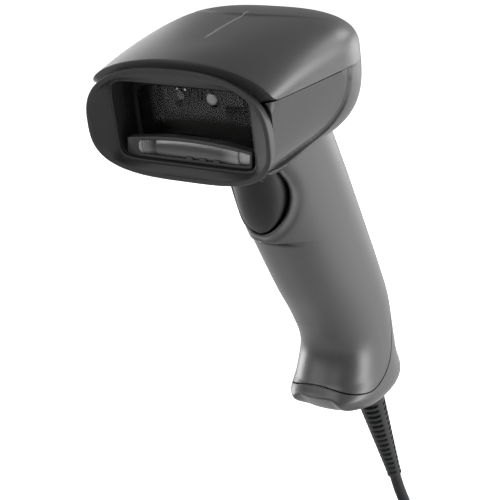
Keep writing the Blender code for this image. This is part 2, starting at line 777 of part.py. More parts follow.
def grip_ribs():
    """Ears that hold the trigger's pin, and ribs behind the handle board."""
    ribs = []
    for side in (-1, 1):
        name = "right" if side > 0 else "left"
        edge = TRIGGER_HALF_WIDTH + TRIGGER_GAP + GAP
        near, far = sorted((side * edge, side * HANDLE_STATIONS[-1][3]))
        low = (near, PIVOT_Y - EAR_HALF_LENGTH, PIVOT_Z - EAR_HALF_LENGTH)
        high = (far, PIVOT_Y + EAR_HALF_LENGTH, PIVOT_Z + EAR_HALF_LENGTH)
        ribs.append(add_cutter(f"ear_{name}", block(f"ear_{name}", low, high)))
        near, far = sorted((side * SWITCH_SIDE, side * HANDLE_STATIONS[-1][3]))
        front = HANDLE_BOARD_REAR + GAP
        low = (near, front, SWITCH_HEIGHT - SWITCH_SIDE)
        high = (far, front + WALL, SWITCH_HEIGHT + SWITCH_SIDE)
        ribs.append(add_cutter(f"rib_{name}", block(f"rib_{name}", low, high), GRIP_AXIS))
    return ribs


def base_bosses(name, low, high):
    """Screw posts on one side of the seam."""
    bosses = []
    for index, (x, y) in enumerate(base_screw_places(), 1):
        label = f"{name}_{index}"
        bosses.append(add_cutter(label, rod(label, BASE_BOSS_RADIUS, (x, y, low), (x, y, high))))
    return bosses


def pin_half_length():
    return TRIGGER_HALF_WIDTH + TRIGGER_GAP + PIN_HOLD


def foot_form(name, grow):
    """Oval pad under the base; its seat is the same oval with clearance."""
    top = BASE_Z + FOOT_THICKNESS - FOOT_PROUD
    low, high = BASE_Z - FOOT_PROUD - 10 * grow, top + grow
    rings = []
    for z in (low, high):
        oval = [rounded(angle, 2.0) for angle in angles(ROUND_SEGMENTS)]
        half, depth = FOOT_HALF_WIDTH + grow, FOOT_HALF_DEPTH + grow
        rings.append([(half * across, FOOT_Y + depth * back, z) for across, back in oval])
    return loft(name, rings)


def screw_profile():
    return [
        (0.0, SCREW_HEAD_HEIGHT),
        (SCREW_HEAD_RADIUS, SCREW_HEAD_HEIGHT),
        (SCREW_HEAD_RADIUS, 0.0),
        (SCREW_SHANK_RADIUS, 0.0),
        (SCREW_SHANK_RADIUS, -SCREW_LENGTH + SCREW_SHANK_RADIUS),
        (0.0, -SCREW_LENGTH),
    ]


def base_pieces():
    add_part("base_foot", foot_form("base_foot", 0.0), RUBBER_BLACK)
    for index, (x, y) in enumerate(base_screw_places(), 1):
        spot = (x, y, BASE_HEAD_Z)
        turned(f"base_screw_{index}", screw_profile(), STEEL, None, spot, (math.pi, 0, 0))


def trigger_group():
    """Trigger shell with its two bearing barrels, its pivot pin and its torsion spring."""
    pivot = Vector((0, PIVOT_Y, PIVOT_Z))
    trigger = add_part("trigger", trigger_form("trigger", 0.0), TRIGGER_GREY)
    hollow = trigger_form("trigger_inside", -TRIGGER_WALL, OVERCUT, 0.0, TRIGGER_DEPTH)
    cut(trigger, add_cutter("trigger_inside", hollow))
    for side in (-1, 1):
        name = "right" if side > 0 else "left"
        edge = side * TRIGGER_HALF_WIDTH
        start = (edge, PIVOT_Y, PIVOT_Z)
        end = (edge - side * BARREL_LENGTH, PIVOT_Y, PIVOT_Z)
        barrel = rod(f"barrel_{name}", BARREL_RADIUS, start, end)
        join(trigger, add_cutter(f"barrel_{name}", barrel))
    nub_rear = switch_front() - PLUNGER_PROUD - GAP
    low = (-NUB_HALF_WIDTH, nub_rear - NUB_LENGTH, SWITCH_HEIGHT - NUB_HALF_WIDTH)
    high = (NUB_HALF_WIDTH, nub_rear, SWITCH_HEIGHT + NUB_HALF_WIDTH)
    join(trigger, add_cutter("trigger_nub", block("trigger_nub", low, high), GRIP_AXIS))
    reach = TRIGGER_HALF_WIDTH + OVERCUT
    bore = rod("trigger_bore", PIN_RADIUS + GAP, (-reach, PIVOT_Y, PIVOT_Z), (reach, PIVOT_Y, PIVOT_Z))
    cut(trigger, add_cutter("trigger_bore", bore))
    trigger.data.transform(Matrix.Translation(-pivot))
    trigger.location = pivot

    half = pin_half_length()
    pin = rod("trigger_pin", PIN_RADIUS, (-half, PIVOT_Y, PIVOT_Z), (half, PIVOT_Y, PIVOT_Z))
    add_part("trigger_pin", pin, STEEL)
    trigger_spring()


def trigger_spring():
    steps = 10
    count = SPRING_TURNS * steps
    run = SPRING_TURNS * SPRING_PITCH
    points = []
    for step in range(count + 1):
        angle = 2 * math.pi * step / steps
        x = -run / 2 + run * step / count
        y = PIVOT_Y + SPRING_RADIUS * math.sin(angle)
        z = PIVOT_Z + SPRING_RADIUS * math.cos(angle)
        points.append(Vector((x, y, z)))
    points.insert(0, points[0] + Vector((0, -SPRING_LEG, 0)))
    points.append(points[-1] + Vector((0, SPRING_LEG, 0)))
    tube("trigger_spring", points, SPRING_WIRE / 2, 1, STEEL)


def switch_front():
    """Front face of the switch, square to the leaning handle."""
    return HANDLE_BOARD_REAR - BOARD_THICKNESS - GAP - SWITCH_DEPTH


def handle_electronics():
    rear, front = HANDLE_BOARD_REAR, HANDLE_BOARD_REAR - BOARD_THICKNESS
    half = HANDLE_BOARD_HALF_WIDTH
    board = block("handle_board", (-half, front, HANDLE_BOARD_BOTTOM), (half, rear, HANDLE_BOARD_TOP))
    add_part("handle_board", board, BOARD_GREEN, GRIP_AXIS)
    side = SWITCH_SIDE / 2
    low = (-side, switch_front(), SWITCH_HEIGHT - side)
    high = (side, front - GAP, SWITCH_HEIGHT + side)
    body = add_part("switch_body", block("switch_body", low, high, bevel=GAP), CHIP_BLACK, GRIP_AXIS)
    spot = (0, switch_front(), SWITCH_HEIGHT)
    well_start = (0, switch_front() - OVERCUT, SWITCH_HEIGHT)
    well_end = (0, front - 2 * GAP, SWITCH_HEIGHT)
    well = rod("plunger_well", PLUNGER_RADIUS + GAP, well_start, well_end)
    cut(body, add_cutter("plunger_well", well, GRIP_AXIS))
    tip, tail = (0, -PLUNGER_PROUD, 0), (0, PLUNGER_LENGTH - PLUNGER_PROUD, 0)
    plunger = rod("switch_plunger", PLUNGER_RADIUS, tip, tail)
    plunger = add_part("switch_plunger", plunger, LED_WHITE, GRIP_AXIS)
    plunger.location = spot

    top = max(on_grip(0, depth, HANDLE_BOARD_TOP).z for depth in (rear, front))
    y = on_grip(0, (rear + front) / 2, HANDLE_BOARD_TOP).y
    low = (-FLEX_HALF_WIDTH, y - FLEX_THICKNESS / 2, top + GAP)
    high = (FLEX_HALF_WIDTH, y + FLEX_THICKNESS / 2, MAIN_BOARD_Z - GAP)
    add_part("board_link", block("board_link", low, high), FLEX_AMBER)


def main_electronics():
    half, top = MAIN_BOARD_HALF_WIDTH, MAIN_BOARD_TOP_Z
    low, high = (-half, MAIN_BOARD_FRONT_Y, MAIN_BOARD_Z), (half, MAIN_BOARD_REAR_Y, top)
    board = add_part("main_board", block("main_board", low, high), BOARD_GREEN)
    for index, (x, y) in enumerate(board_screw_places(), 1):
        low, high = (x, y, MAIN_BOARD_Z - WALL), (x, y, top + WALL)
        hole = rod(f"board_hole_{index}", SCREW_SHANK_RADIUS + GAP, low, high)
        cut(board, add_cutter(f"board_hole_{index}", hole))
        turned(f"board_screw_{index}", screw_profile(), STEEL, None, (x, y, top + GAP))

    width, depth, height = SHIELD_SIZE
    low = (-width / 2, SHIELD_Y - depth / 2, top + GAP)
    high = (width / 2, SHIELD_Y + depth / 2, top + GAP + height)
    shield = add_part("shield_can", block("shield_can", low, high, bevel=GAP), STEEL)
    low = (low[0] + SHIELD_WALL, low[1] + SHIELD_WALL, low[2] - OVERCUT)
    high = (high[0] - SHIELD_WALL, high[1] - SHIELD_WALL, high[2] - SHIELD_WALL)
    cut(shield, add_cutter("shield_inside", block("shield_inside", low, high)))

    hole, wall = BEEPER_RADIUS / 5, BEEPER_HEIGHT / 5
    profile = [
        (0.0, BEEPER_HEIGHT - wall),
        (hole, BEEPER_HEIGHT - wall),
        (hole, BEEPER_HEIGHT),
        (BEEPER_RADIUS - GAP, BEEPER_HEIGHT),
        (BEEPER_RADIUS, BEEPER_HEIGHT - GAP),
        (BEEPER_RADIUS, 0.0),
        (0.0, 0.0),
    ]
    turned("beeper", profile, CHIP_BLACK, None, (BEEPER_X, BEEPER_Y, top + GAP))


def optics():
    """Black shroud behind the bezel, its window, and the imager that looks out through it."""
    front, back = BEZEL_BACK_Y + GAP, SHROUD_BACK_Y
    rings = [opening_ring(front, SHROUD_WALL), opening_ring(back, SHROUD_WALL - SHROUD_TAPER)]
    shroud = add_part("optics_shroud", loft("optics_shroud", rings), OPTIC_BLACK)
    floor = back - SHROUD_WALL
    hollow = [opening_ring(y, 0.0) for y in (front - OVERCUT, front)]
    hollow.append(opening_ring(floor, -SHROUD_TAPER))
    cut(shroud, add_cutter("shroud_inside", loft("shroud_inside", hollow)))
    low = (ENGINE_X - ENGINE_HALF_WIDTH - GAP, floor - OVERCUT, ENGINE_FLOOR_Z - GAP)
    high = (ENGINE_X + ENGINE_HALF_WIDTH + GAP, back + OVERCUT, ENGINE_TOP_Z + GAP)
    cut(shroud, add_cutter("engine_port", block("engine_port", low, high)))

    window_back = WINDOW_Y + WINDOW_THICKNESS
    narrow = SHROUD_TAPER * (window_back - front) / (floor - front) + GAP
    panes = [opening_ring(y, -narrow) for y in (WINDOW_Y, window_back)]
    add_part("exit_window", loft("exit_window", panes), CLEAR_GLASS)

    low = (ENGINE_X - ENGINE_HALF_WIDTH, ENGINE_FRONT_Y, ENGINE_FLOOR_Z)
    high = (ENGINE_X + ENGINE_HALF_WIDTH, ENGINE_BACK_Y, ENGINE_TOP_Z)
    engine = add_part("engine_housing", block("engine_housing", low, high, bevel=GAP), CHIP_BLACK)
    bore_start, bore_end = ENGINE_FRONT_Y - OVERCUT, ENGINE_BACK_Y + OVERCUT
    low, high = (LENS_X, bore_start, OPTICS_Z), (LENS_X, bore_end, OPTICS_Z)
    bore = rod("camera_bore", CAMERA_RADIUS + GAP, low, high)
    aimer_front = ENGINE_FRONT_Y - 2 * GAP
    aimer_back = aimer_front + AIMER_LENGTH
    well_end = (AIMER_X, aimer_back + GAP, OPTICS_Z)
    well = rod("aimer_well", AIMER_RADIUS + GAP, (AIMER_X, bore_start, OPTICS_Z), well_end)
    cut(engine, add_cutter("camera_bore", bore), add_cutter("aimer_well", well))

    forward = (math.pi / 2, 0, 0)
    inner = CAMERA_RADIUS - CAMERA_WALL
    profile = [
        (inner, 0.0),
        (CAMERA_RADIUS, 0.0),
        (CAMERA_RADIUS, -CAMERA_LENGTH),
        (inner, -CAMERA_LENGTH),
        (inner, 0.0),
    ]
    barrel_front = ENGINE_FRONT_Y - CAMERA_PROUD
    turned("camera_barrel", profile, OPTIC_BLACK, None, (LENS_X, barrel_front, OPTICS_Z), forward)
    glass = inner - GAP
    profile = [(0.0, 0.0)]
    profile += [(glass * share, -LENS_THICKNESS / 2 * share**2) for share in (0.35, 0.7, 1.0)]
    profile += [(glass, -LENS_THICKNESS), (0.0, -LENS_THICKNESS)]
    turned("camera_lens", profile, CLEAR_GLASS, None, (LENS_X, barrel_front + GAP, OPTICS_Z), forward)
    dome = AIMER_RADIUS / 2
    arc = [math.radians(90) * step / 4 for step in range(5)]
    profile = [(AIMER_RADIUS * math.sin(turn), dome * math.cos(turn)) for turn in arc]
    profile += [(AIMER_RADIUS, dome - AIMER_LENGTH), (0.0, dome - AIMER_LENGTH)]
    spot = (AIMER_X, aimer_back - AIMER_LENGTH + dome, OPTICS_Z)
    turned("aimer_lens", profile, LED_WHITE, None, spot, forward)

    board_front = ENGINE_BACK_Y + GAP
    board_back = board_front + BOARD_THICKNESS
    low = (ENGINE_X - ENGINE_HALF_WIDTH, board_front, ENGINE_FLOOR_Z - WALL)
    high = (ENGINE_X + ENGINE_HALF_WIDTH, board_back, ENGINE_TOP_Z)
    add_part("imager_board", block("imager_board", low, high), BOARD_GREEN)
    side = SENSOR_SIDE / 2
    low = (LENS_X - side, board_front - GAP - SENSOR_THICKNESS, OPTICS_Z - side)
    high = (LENS_X + side, board_front - GAP, OPTICS_Z + side)
    add_part("image_sensor", block("image_sensor", low, high), CHIP_BLACK)

    near, far = board_back + GAP, board_back + GAP + FLEX_THICKNESS
    low_z, lap = MAIN_BOARD_TOP_Z + GAP, MAIN_BOARD_FRONT_Y + 2 * WALL
    outline = [
        (near, OPTICS_Z),
        (near, low_z),
        (lap, low_z),
        (lap, low_z + FLEX_THICKNESS),
        (far, low_z + FLEX_THICKNESS),
        (far, OPTICS_Z),
    ]
    add_part("imager_flex", prism_x("imager_flex", outline, FLEX_HALF_WIDTH), FLEX_AMBER)


def tray_outline(inset):
    """Front outline of the light bar's tray: the opening's foot below, a shallow arch on top."""
    half = TRAY_HALF_WIDTH - inset
    outline = []
    for step in range(15):
        x = half * (2 * step / 14 - 1)
        share = (1 - abs(x / OPENING_HALF_WIDTH) ** OPENING_POWER) ** (1 / OPENING_POWER)
        outline.append((x, OPENING_MID_Z - (OPENING_HALF_HEIGHT - GAP - inset) * share))
    for step in range(15):
        x = half * (1 - 2 * step / 14)
        outline.append((x, TRAY_TOP_Z - inset + TRAY_CROWN * (1 - (x / TRAY_HALF_WIDTH) ** 2)))
    return outline


def light_bar():
    """Diffuser strip in its frame, with the strip of lamps behind it."""
    back = TRAY_FRONT_Y + TRAY_DEPTH
    frame = prism_y("light_bar_frame", tray_outline(0.0), TRAY_FRONT_Y, back)
    frame = add_part("light_bar_frame", frame, BEZEL_GREY)
    window = prism_y("bar_window", tray_outline(TRAY_RIM), TRAY_FRONT_Y - OVERCUT, back + OVERCUT)
    cut(frame, add_cutter("bar_window", window))
    bar_back = TRAY_FRONT_Y + LIGHT_BAR_DEPTH
    bar = prism_y("light_bar", tray_outline(TRAY_RIM + GAP), TRAY_FRONT_Y + GAP, bar_back)
    add_part("light_bar", bar, DIFFUSER_GREY)
    wide, deep, tall = LED_SIZE
    middle = (OPENING_MID_Z - OPENING_HALF_HEIGHT + TRAY_TOP_Z) / 2
    board_front = back + GAP
    for name, x in (("left", -LED_X), ("right", LED_X)):
        low = (x - wide / 2, board_front - GAP - deep, middle - tall / 2)
        high = (x + wide / 2, board_front - GAP, middle + tall / 2)
        add_part(f"illumination_led_{name}", block(f"illumination_led_{name}", low, high), LED_WHITE)
    half = TRAY_HALF_WIDTH - 2 * TRAY_RIM
    low = (-half, board_front, middle - tall)
    high = (half, board_front + BOARD_THICKNESS / 2, middle + tall)
    add_part("led_board", block("led_board", low, high), BOARD_GREEN)


def cable_outlet():
    """Modular jack and plug inside the base, and the ribbed strain relief that leaves it."""
    wide, deep, tall = PLUG_SIZE
    plug_low = RELIEF_NECK + GAP
    low, high = (-wide / 2, -deep / 2, plug_low), (wide / 2, deep / 2, plug_low + tall)
    plug = block("cable_plug", low, high, bevel=GAP)
    add_part("cable_plug", plug, CLEAR_GLASS, CORD_AXIS)
    half, thick = wide / 2 + GAP + JACK_WALL, deep / 2 + GAP + JACK_WALL
    jack = block("cable_jack", (-half, -thick, plug_low), (half, thick, plug_low + JACK_LENGTH), bevel=GAP)
    jack = add_part("cable_jack", jack, CHIP_BLACK, CORD_AXIS)
    low = (-wide / 2 - GAP, -deep / 2 - GAP, plug_low - OVERCUT)
    high = (wide / 2 + GAP, deep / 2 + GAP, plug_low + tall + GAP)
    cut(jack, add_cutter("jack_mouth", block("jack_mouth", low, high), CORD_AXIS))

    profile = [(0.0, RELIEF_NECK), (RELIEF_TOP_RADIUS, RELIEF_NECK), (RELIEF_TOP_RADIUS, -BASE_ROUND)]
    run = RELIEF_LENGTH - BASE_ROUND - RELIEF_END_RADIUS
    pitch = run / RELIEF_RIBS
    for rib in range(RELIEF_RIBS):
        for share, sunk in ((0.15, 0.0), (0.3, 1.0), (0.55, 1.0), (0.7, 0.0)):
            along = (rib + share) / RELIEF_RIBS
            radius = RELIEF_TOP_RADIUS + (RELIEF_END_RADIUS - RELIEF_TOP_RADIUS) * along
            profile.append((radius - sunk * RELIEF_GROOVE, -BASE_ROUND - (rib + share) * pitch))
    profile += [(RELIEF_END_RADIUS, -RELIEF_LENGTH), (0.0, -RELIEF_LENGTH)]
    turned("strain_relief", profile, CORD_SLATE, CORD_AXIS)


def smooth_path(points, step):
    """Points a step apart on a curve through the given ones."""
    path = []
    ends = [2 * points[0] - points[1], *points, 2 * points[-1] - points[-2]]
    for before, here, there, after in zip(ends, ends[1:], ends[2:], ends[3:]):
        count = max(1, round((there - here).length / step))
        for index in range(count):
            t = index / count
            path.append(
                0.5 * (2 * here + (there - before) * t
                       + (2 * before - 5 * here + 4 * there - after) * t**2
                       + (3 * here - before - 3 * there + after) * t**3)
            )
    return path + [points[-1]]


def coil_points():
    """The coil's turns: in and out again, layer by layer, about an axis along Y."""
    sweep = COIL_END - COIL_START + 2 * math.pi * COIL_TURNS
    layer_sweep = sweep / COIL_LAYERS
    width = COIL_PITCH * layer_sweep / (2 * math.pi)
    count = round(sweep / (2 * math.pi) * LOOP_POINTS)
    points = []
    for index in range(count + 1):
        turned_by = sweep * index / count
        layer = min(COIL_LAYERS - 1, int(turned_by / layer_sweep))
        share = turned_by / layer_sweep - layer
        inward = share if layer % 2 == 0 else 1 - share
        radius = COIL_MIDDLE_RADIUS + width / 2 - width * inward
        nearest = min(COIL_LAYERS - 1, max(1, round(turned_by / layer_sweep)))
        climb = (turned_by - nearest * layer_sweep) / math.pi
        level = nearest - 0.5 + min(0.5, max(-0.5, climb))
        angle = COIL_START + turned_by
        x, z = radius * math.sin(angle), COIL_CENTRE_Z + radius * math.cos(angle)
        points.append(Vector((x, COIL_REAR_Y - COIL_PITCH * level, z)))
    return points


def heading(angle):
    return Vector((math.cos(angle), 0, -math.sin(angle)))


def least_gap(points):
    """Clear space between turns of the tube, on points that are at least half a turn apart."""
    apart = LOOP_POINTS // 2
    nearest = min(
        (points[first] - points[second]).length
        for first in range(len(points))
        for second in range(first + apart, len(points))
    )
    return nearest - CORD_DIAMETER


def length_of(points):
    return sum((there - here).length for here, there in zip(points, points[1:]))


def cord():
    """Free lead from the strain relief, the coil that it is put away in, and the coil's tie."""
    radius = CORD_DIAMETER / 2
    turns = coil_points()
    lead_in = [turns[0] - heading(COIL_START) * COIL_LEAD_IN]
    lead_out = [turns[-1] + heading(COIL_END) * COIL_LEAD_OUT * share for share in (0.5, 1.0)]
    coil = lead_in + turns + lead_out
    tube("cord_coil", coil, radius, 1, CORD_SLATE)
    exit_point = on_cord(0, 0, -RELIEF_LENGTH - GAP)
    along = on_cord(0, 0, -RELIEF_LENGTH - 2 * CORD_DIAMETER)
    meet = coil[0] - heading(COIL_START) * GAP
    run_in = coil[0] - heading(COIL_START) * (GAP + CORD_DIAMETER)
    route = [exit_point, along, *map(Vector, CORD_ROUTE), run_in, meet]
    lead = smooth_path(route, 1.2 * CORD_DIAMETER)
    tube("cord_lead", lead, radius, 2, CORD_SLATE)
    print("cord coil: least gap to itself", round(least_gap(turns) * 1000, 3), "mm")
    print("cord length", round(length_of(lead) + length_of(coil), 4), "m")

    sweep = COIL_END - COIL_START + 2 * math.pi * COIL_TURNS
    half_width = COIL_PITCH * sweep / COIL_LAYERS / (4 * math.pi) + radius + TIE_SLACK
    half_stack = COIL_PITCH * (COIL_LAYERS - 1) / 2 + radius + TIE_SLACK
    middle_y = COIL_REAR_Y - COIL_PITCH * (COIL_LAYERS - 1) / 2
    frame = add_frame("tie_frame", (0, middle_y, COIL_CENTRE_Z), 0.0)
    frame.rotation_euler = (0.0, TIE_ANGLE, 0.0)
    outer = (TIE_WIDTH / 2, half_stack + TIE_THICKNESS, half_width + TIE_THICKNESS)
    inner = (TIE_WIDTH, half_stack, half_width)
    solids = []
    for name, (x, y, z) in (("coil_tie", outer), ("tie_inside", inner)):
        low, high = (-x, -y, COIL_MIDDLE_RADIUS - z), (x, y, COIL_MIDDLE_RADIUS + z)
        solids.append(block(name, low, high, bevel=TIE_THICKNESS / 2))
    tie = add_part("coil_tie", solids[0], RUBBER_BLACK, frame)
    cut(tie, add_cutter("tie_inside", solids[1], frame))
    return coil[-1]


def far_connector(cord_end):
    """Flat rectangular plug: moulded grip with its neck, metal shell and contact tongue."""
    frame = add_frame("connector_frame", cord_end, 0.0)
    frame.rotation_euler = (0.0, COIL_END - math.radians(90), 0.0)
    wide, thick, long = USB_GRIP_SIZE
    neck_low = -GAP - USB_NECK_LENGTH
    grip_low = neck_low - long
    low, high = (-thick / 2, -wide / 2, grip_low), (thick / 2, wide / 2, neck_low)
    grip = block("usb_grip", low, high, bevel=thick / 6)
    grip = add_part("usb_grip", grip, CORD_SLATE, frame)
    neck_end = (0, 0, neck_low - USB_NECK_RADIUS)
    neck = rod("usb_neck", CORD_DIAMETER / 2 + 2 * GAP, (0, 0, -GAP), neck_end, USB_NECK_RADIUS)
    join(grip, add_cutter("usb_neck", neck, frame))
    shell_wide, shell_thick, shell_long = USB_SHELL_SIZE
    shell_top = grip_low - GAP
    shell_low = shell_top - shell_long
    x, y = shell_thick / 2, shell_wide / 2
    shell = add_part("usb_shell", block("usb_shell", (-x, -y, shell_low), (x, y, shell_top)), STEEL, frame)
    back = shell_top - 2 * USB_SHELL_WALL
    x, y = x - USB_SHELL_WALL, y - USB_SHELL_WALL
    mouth = block("shell_inside", (-x, -y, shell_low - OVERCUT), (x, y, back))
    cut(shell, add_cutter("shell_inside", mouth, frame))
    tongue_wide, tongue_thick, tongue_long = USB_TONGUE_SIZE
    tongue_top = back - GAP
    low = (-x + GAP, -tongue_wide / 2, tongue_top - tongue_long)
    high = (-x + GAP + tongue_thick, tongue_wide / 2, tongue_top)
    add_part("usb_tongue", block("usb_tongue", low, high), CHIP_BLACK, frame)


def main():
    head_casing()
    status_light()
    nose_bezel()
    handle_casing()
    base_pieces()
    trigger_group()
    handle_electronics()
    main_electronics()
    optics()
    light_bar()
    cable_outlet()
    far_connector(cord())


main()
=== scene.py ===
import bisect
import contextlib
from math import copysign, cos, exp, hypot, pi, radians, sin, sqrt, tan

import bmesh
import bpy
from mathutils import Matrix, Vector


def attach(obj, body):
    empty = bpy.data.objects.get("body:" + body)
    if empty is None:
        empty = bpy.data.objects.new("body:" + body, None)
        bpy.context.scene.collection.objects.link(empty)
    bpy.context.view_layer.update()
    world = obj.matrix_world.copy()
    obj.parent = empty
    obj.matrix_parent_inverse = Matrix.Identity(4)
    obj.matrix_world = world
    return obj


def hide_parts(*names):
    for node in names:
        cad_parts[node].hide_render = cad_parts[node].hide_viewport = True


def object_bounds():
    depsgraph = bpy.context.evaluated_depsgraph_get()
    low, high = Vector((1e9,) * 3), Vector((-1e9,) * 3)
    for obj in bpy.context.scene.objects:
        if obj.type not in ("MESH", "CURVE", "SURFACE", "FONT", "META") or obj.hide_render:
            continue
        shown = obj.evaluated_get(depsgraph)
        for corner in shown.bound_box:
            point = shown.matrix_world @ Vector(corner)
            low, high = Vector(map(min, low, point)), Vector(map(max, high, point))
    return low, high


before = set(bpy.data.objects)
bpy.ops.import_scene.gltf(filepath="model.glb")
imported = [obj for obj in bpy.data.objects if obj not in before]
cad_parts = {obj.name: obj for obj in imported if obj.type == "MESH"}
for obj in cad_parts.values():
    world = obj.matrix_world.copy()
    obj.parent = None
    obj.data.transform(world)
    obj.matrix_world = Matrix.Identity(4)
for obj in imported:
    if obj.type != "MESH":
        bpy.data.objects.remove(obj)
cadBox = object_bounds()
scene = bpy.context.scene
scene.view_settings.view_transform = "Standard"
print("frame loaded:", len(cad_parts), "nodes")

# camera, at the photo's view
cameraView = dict(
    place=(0.2965, -0.43278, 0.23557), right=(0.8192, 0.561, -0.1193), up=(-0.132, 0.3867, 0.9127),
    forward=(-0.5582, 0.7319, -0.3908), lens=115.2, sensor=36.0, near=0.01, far=20.0,
)


def addCamera(view):
    bpy.ops.object.camera_add()
    camera = bpy.context.object
    camera.name = "camera"
    axes = Matrix((view["right"], view["up"], -Vector(view["forward"]))).transposed()
    camera.matrix_world = Matrix.Translation(view["place"]) @ axes.to_4x4()
    camera.data.lens, camera.data.sensor_width = view["lens"], view["sensor"]
    camera.data.clip_start, camera.data.clip_end = view["near"], view["far"]
    scene.camera = camera


addCamera(cameraView)
print("camera set")


# small tools that every piece uses
def deselectAll():
    if bpy.context.object and bpy.context.object.mode != "OBJECT":
        bpy.ops.object.mode_set(mode="OBJECT")
    bpy.ops.object.select_all(action="DESELECT")


def selectOnly(*pieces):
    deselectAll()
    for piece in pieces:
        piece.select_set(True)
    bpy.context.view_layer.objects.active = pieces[0]


def named(piece, name):
    piece.name = name
    piece.data.name = name
    return piece


def unit(share):
    return min(1.0, max(0.0, share))


def ease(share):
    share = unit(share)
    return share * share * (3 - 2 * share)


def blend(low, high, share):
    return low + (high - low) * share


def shares(count, first=1):
    # even steps up to one
    return [step / count for step in range(first, count + 1)]


def bell(off, wide):
    return exp(-((off / wide) ** 2))


def solve(height, low, high):
    # where a rising function crosses zero
    for _ in range(40):
        middle = (low + high) / 2
        low, high = (middle, high) if height(middle) < 0 else (low, middle)
    return (low + high) / 2


def roundedPoint(angle, wide, tall, power):
    # a point of a rounded rectangle, in the direction of the angle
    across, up = cos(angle), sin(angle)
    reach = (abs(across / wide) ** power + abs(up / tall) ** power) ** (-1 / power)
    return reach * across, reach * up


def gridPiece(name, columns, rows, makeRow):
    # a plain grid, laid row by row on the form of a piece
    deselectAll()
    bpy.ops.mesh.primitive_grid_add(x_subdivisions=columns, y_subdivisions=rows, size=2)
    piece = named(bpy.context.object, name)
    madeRows = {}
    for vertex in piece.data.vertices:
        across, along = (vertex.co.x + 1) / 2, (vertex.co.y + 1) / 2
        key = round(along * 10000)
        if key not in madeRows:
            madeRows[key] = makeRow(along)
        vertex.co = madeRows[key](across)
    return piece


def formPiece(name, columns, rows, place):
    return gridPiece(name, columns, rows, lambda along: lambda across: place(across, along))


def rowPiece(name, columns, rows, place):
    # a grid whose rows follow a list
    last = len(rows) - 1
    return formPiece(name, columns, last, lambda across, along: place(rows[round(along * last)], across))


@contextlib.contextmanager
def editing(piece):
    # edit mode, with the whole mesh selected
    selectOnly(piece)
    bpy.ops.object.mode_set(mode="EDIT")
    bpy.ops.mesh.select_all(action="SELECT")
    yield
    bpy.ops.object.mode_set(mode="OBJECT")


def pickItems(piece, kind, test):
    # selects the edges or faces that pass the test
    bpy.ops.mesh.select_mode(type=kind)
    bpy.ops.mesh.select_all(action="DESELECT")
    shape = bmesh.from_edit_mesh(piece.data)
    for item in shape.edges if kind == "EDGE" else shape.faces:
        item.select = test(item)
    bmesh.update_edit_mesh(piece.data)


def extrude(up):
    bpy.ops.mesh.extrude_region_move(TRANSFORM_OT_translate={"value": (0, 0, up)})


def mergeDoubles(piece, distance=2e-6):
    with editing(piece):
        bpy.ops.mesh.remove_doubles(threshold=distance)
        bpy.ops.mesh.dissolve_degenerate(threshold=distance / 2)
    return piece


def faceOut(piece, centre):
    # turns the faces away from the middle of an open form
    middle = Vector(centre)
    if sum(face.area * face.normal.dot(face.center - middle) for face in piece.data.polygons) < 0:
        with editing(piece):
            bpy.ops.mesh.flip_normals()
    return piece


def recalcFaces(piece):
    with editing(piece):
        bpy.ops.mesh.normals_make_consistent(inside=False)
    return piece


def applyModifier(piece, kind, **values):
    selectOnly(piece)
    modifier = piece.modifiers.new(kind.lower(), kind)
    for key, value in values.items():
        setattr(modifier, key, value)
    bpy.ops.object.modifier_apply(modifier=modifier.name)
    return piece


def mirrorHalf(piece):
    across = (True, False, False)
    return applyModifier(piece, "MIRROR", use_axis=across, use_mirror_merge=True, merge_threshold=4e-6)


def wallInside(piece, thickness, **more):
    return applyModifier(piece, "SOLIDIFY", thickness=thickness, offset=-1.0, use_rim=True, **more)


def cutAway(piece, *cutters):
    for cutter in cutters:
        applyModifier(piece, "BOOLEAN", operation="DIFFERENCE", solver="EXACT", object=cutter)
    for cutter in cutters:
        bpy.data.objects.remove(cutter)
    return piece


def bevelSharp(piece, width, segments=3, angle=50.0, where=None):
    # rounds the sharp edges, or those of them that the test keeps
    def sharp(edge):
        bent = len(edge.link_faces) == 2 and edge.calc_face_angle(0.0) > radians(angle)
        return bent and (where is None or where((edge.verts[0].co + edge.verts[1].co) / 2))

    with editing(piece):
        pickItems(piece, "EDGE", sharp)
        bpy.ops.mesh.bevel(offset=width, segments=segments, profile=0.5, affect="EDGES", clamp_overlap=True)
        bpy.ops.mesh.select_mode(type="VERT")
    return piece


def smooth(piece, angle=40.0):
    selectOnly(piece)
    bpy.ops.object.shade_smooth_by_angle(angle=radians(angle))
    return piece


def joinPieces(name, *pieces):
    selectOnly(*pieces)
    bpy.ops.object.join()
    return named(bpy.context.object, name)


def turnPiece(piece, matrix):
    piece.data.transform(matrix)
    piece.data.update()
    return piece


def applied(name):
    bpy.ops.object.transform_apply(location=True, rotation=True, scale=True)
    return named(bpy.context.object, name)


def addBlock(name, middle, size):
    deselectAll()
    bpy.ops.mesh.primitive_cube_add(size=1, location=middle)
    bpy.ops.transform.resize(value=size)
    return applied(name)


def addRod(name, vertices, radius, depth, **place):
    deselectAll()
    bpy.ops.mesh.primitive_cylinder_add(vertices=vertices, radius=radius, depth=depth, **place)
    return applied(name)


def dress(piece, finish, slot, *nodes, body="scanner"):
    # finish, body, slot (not used) and the CAD nodes that the piece stands for
    piece.data.materials.clear()
    piece.data.materials.append(finishes[finish])
    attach(piece, body)
    if nodes:
        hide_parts(*nodes)
    return piece


# shader nodes, and the groups that several finishes share
def setInputs(tree, node, inputs):
    for key, value in inputs.items():  # i0, i1 and so on are sockets by number
        socket = node.inputs[int(key[1:]) if key[1:].isdigit() else key.replace("_", " ")]
        if isinstance(value, bpy.types.NodeSocket):
            tree.links.new(value, socket)
        else:
            socket.default_value = value
    return node


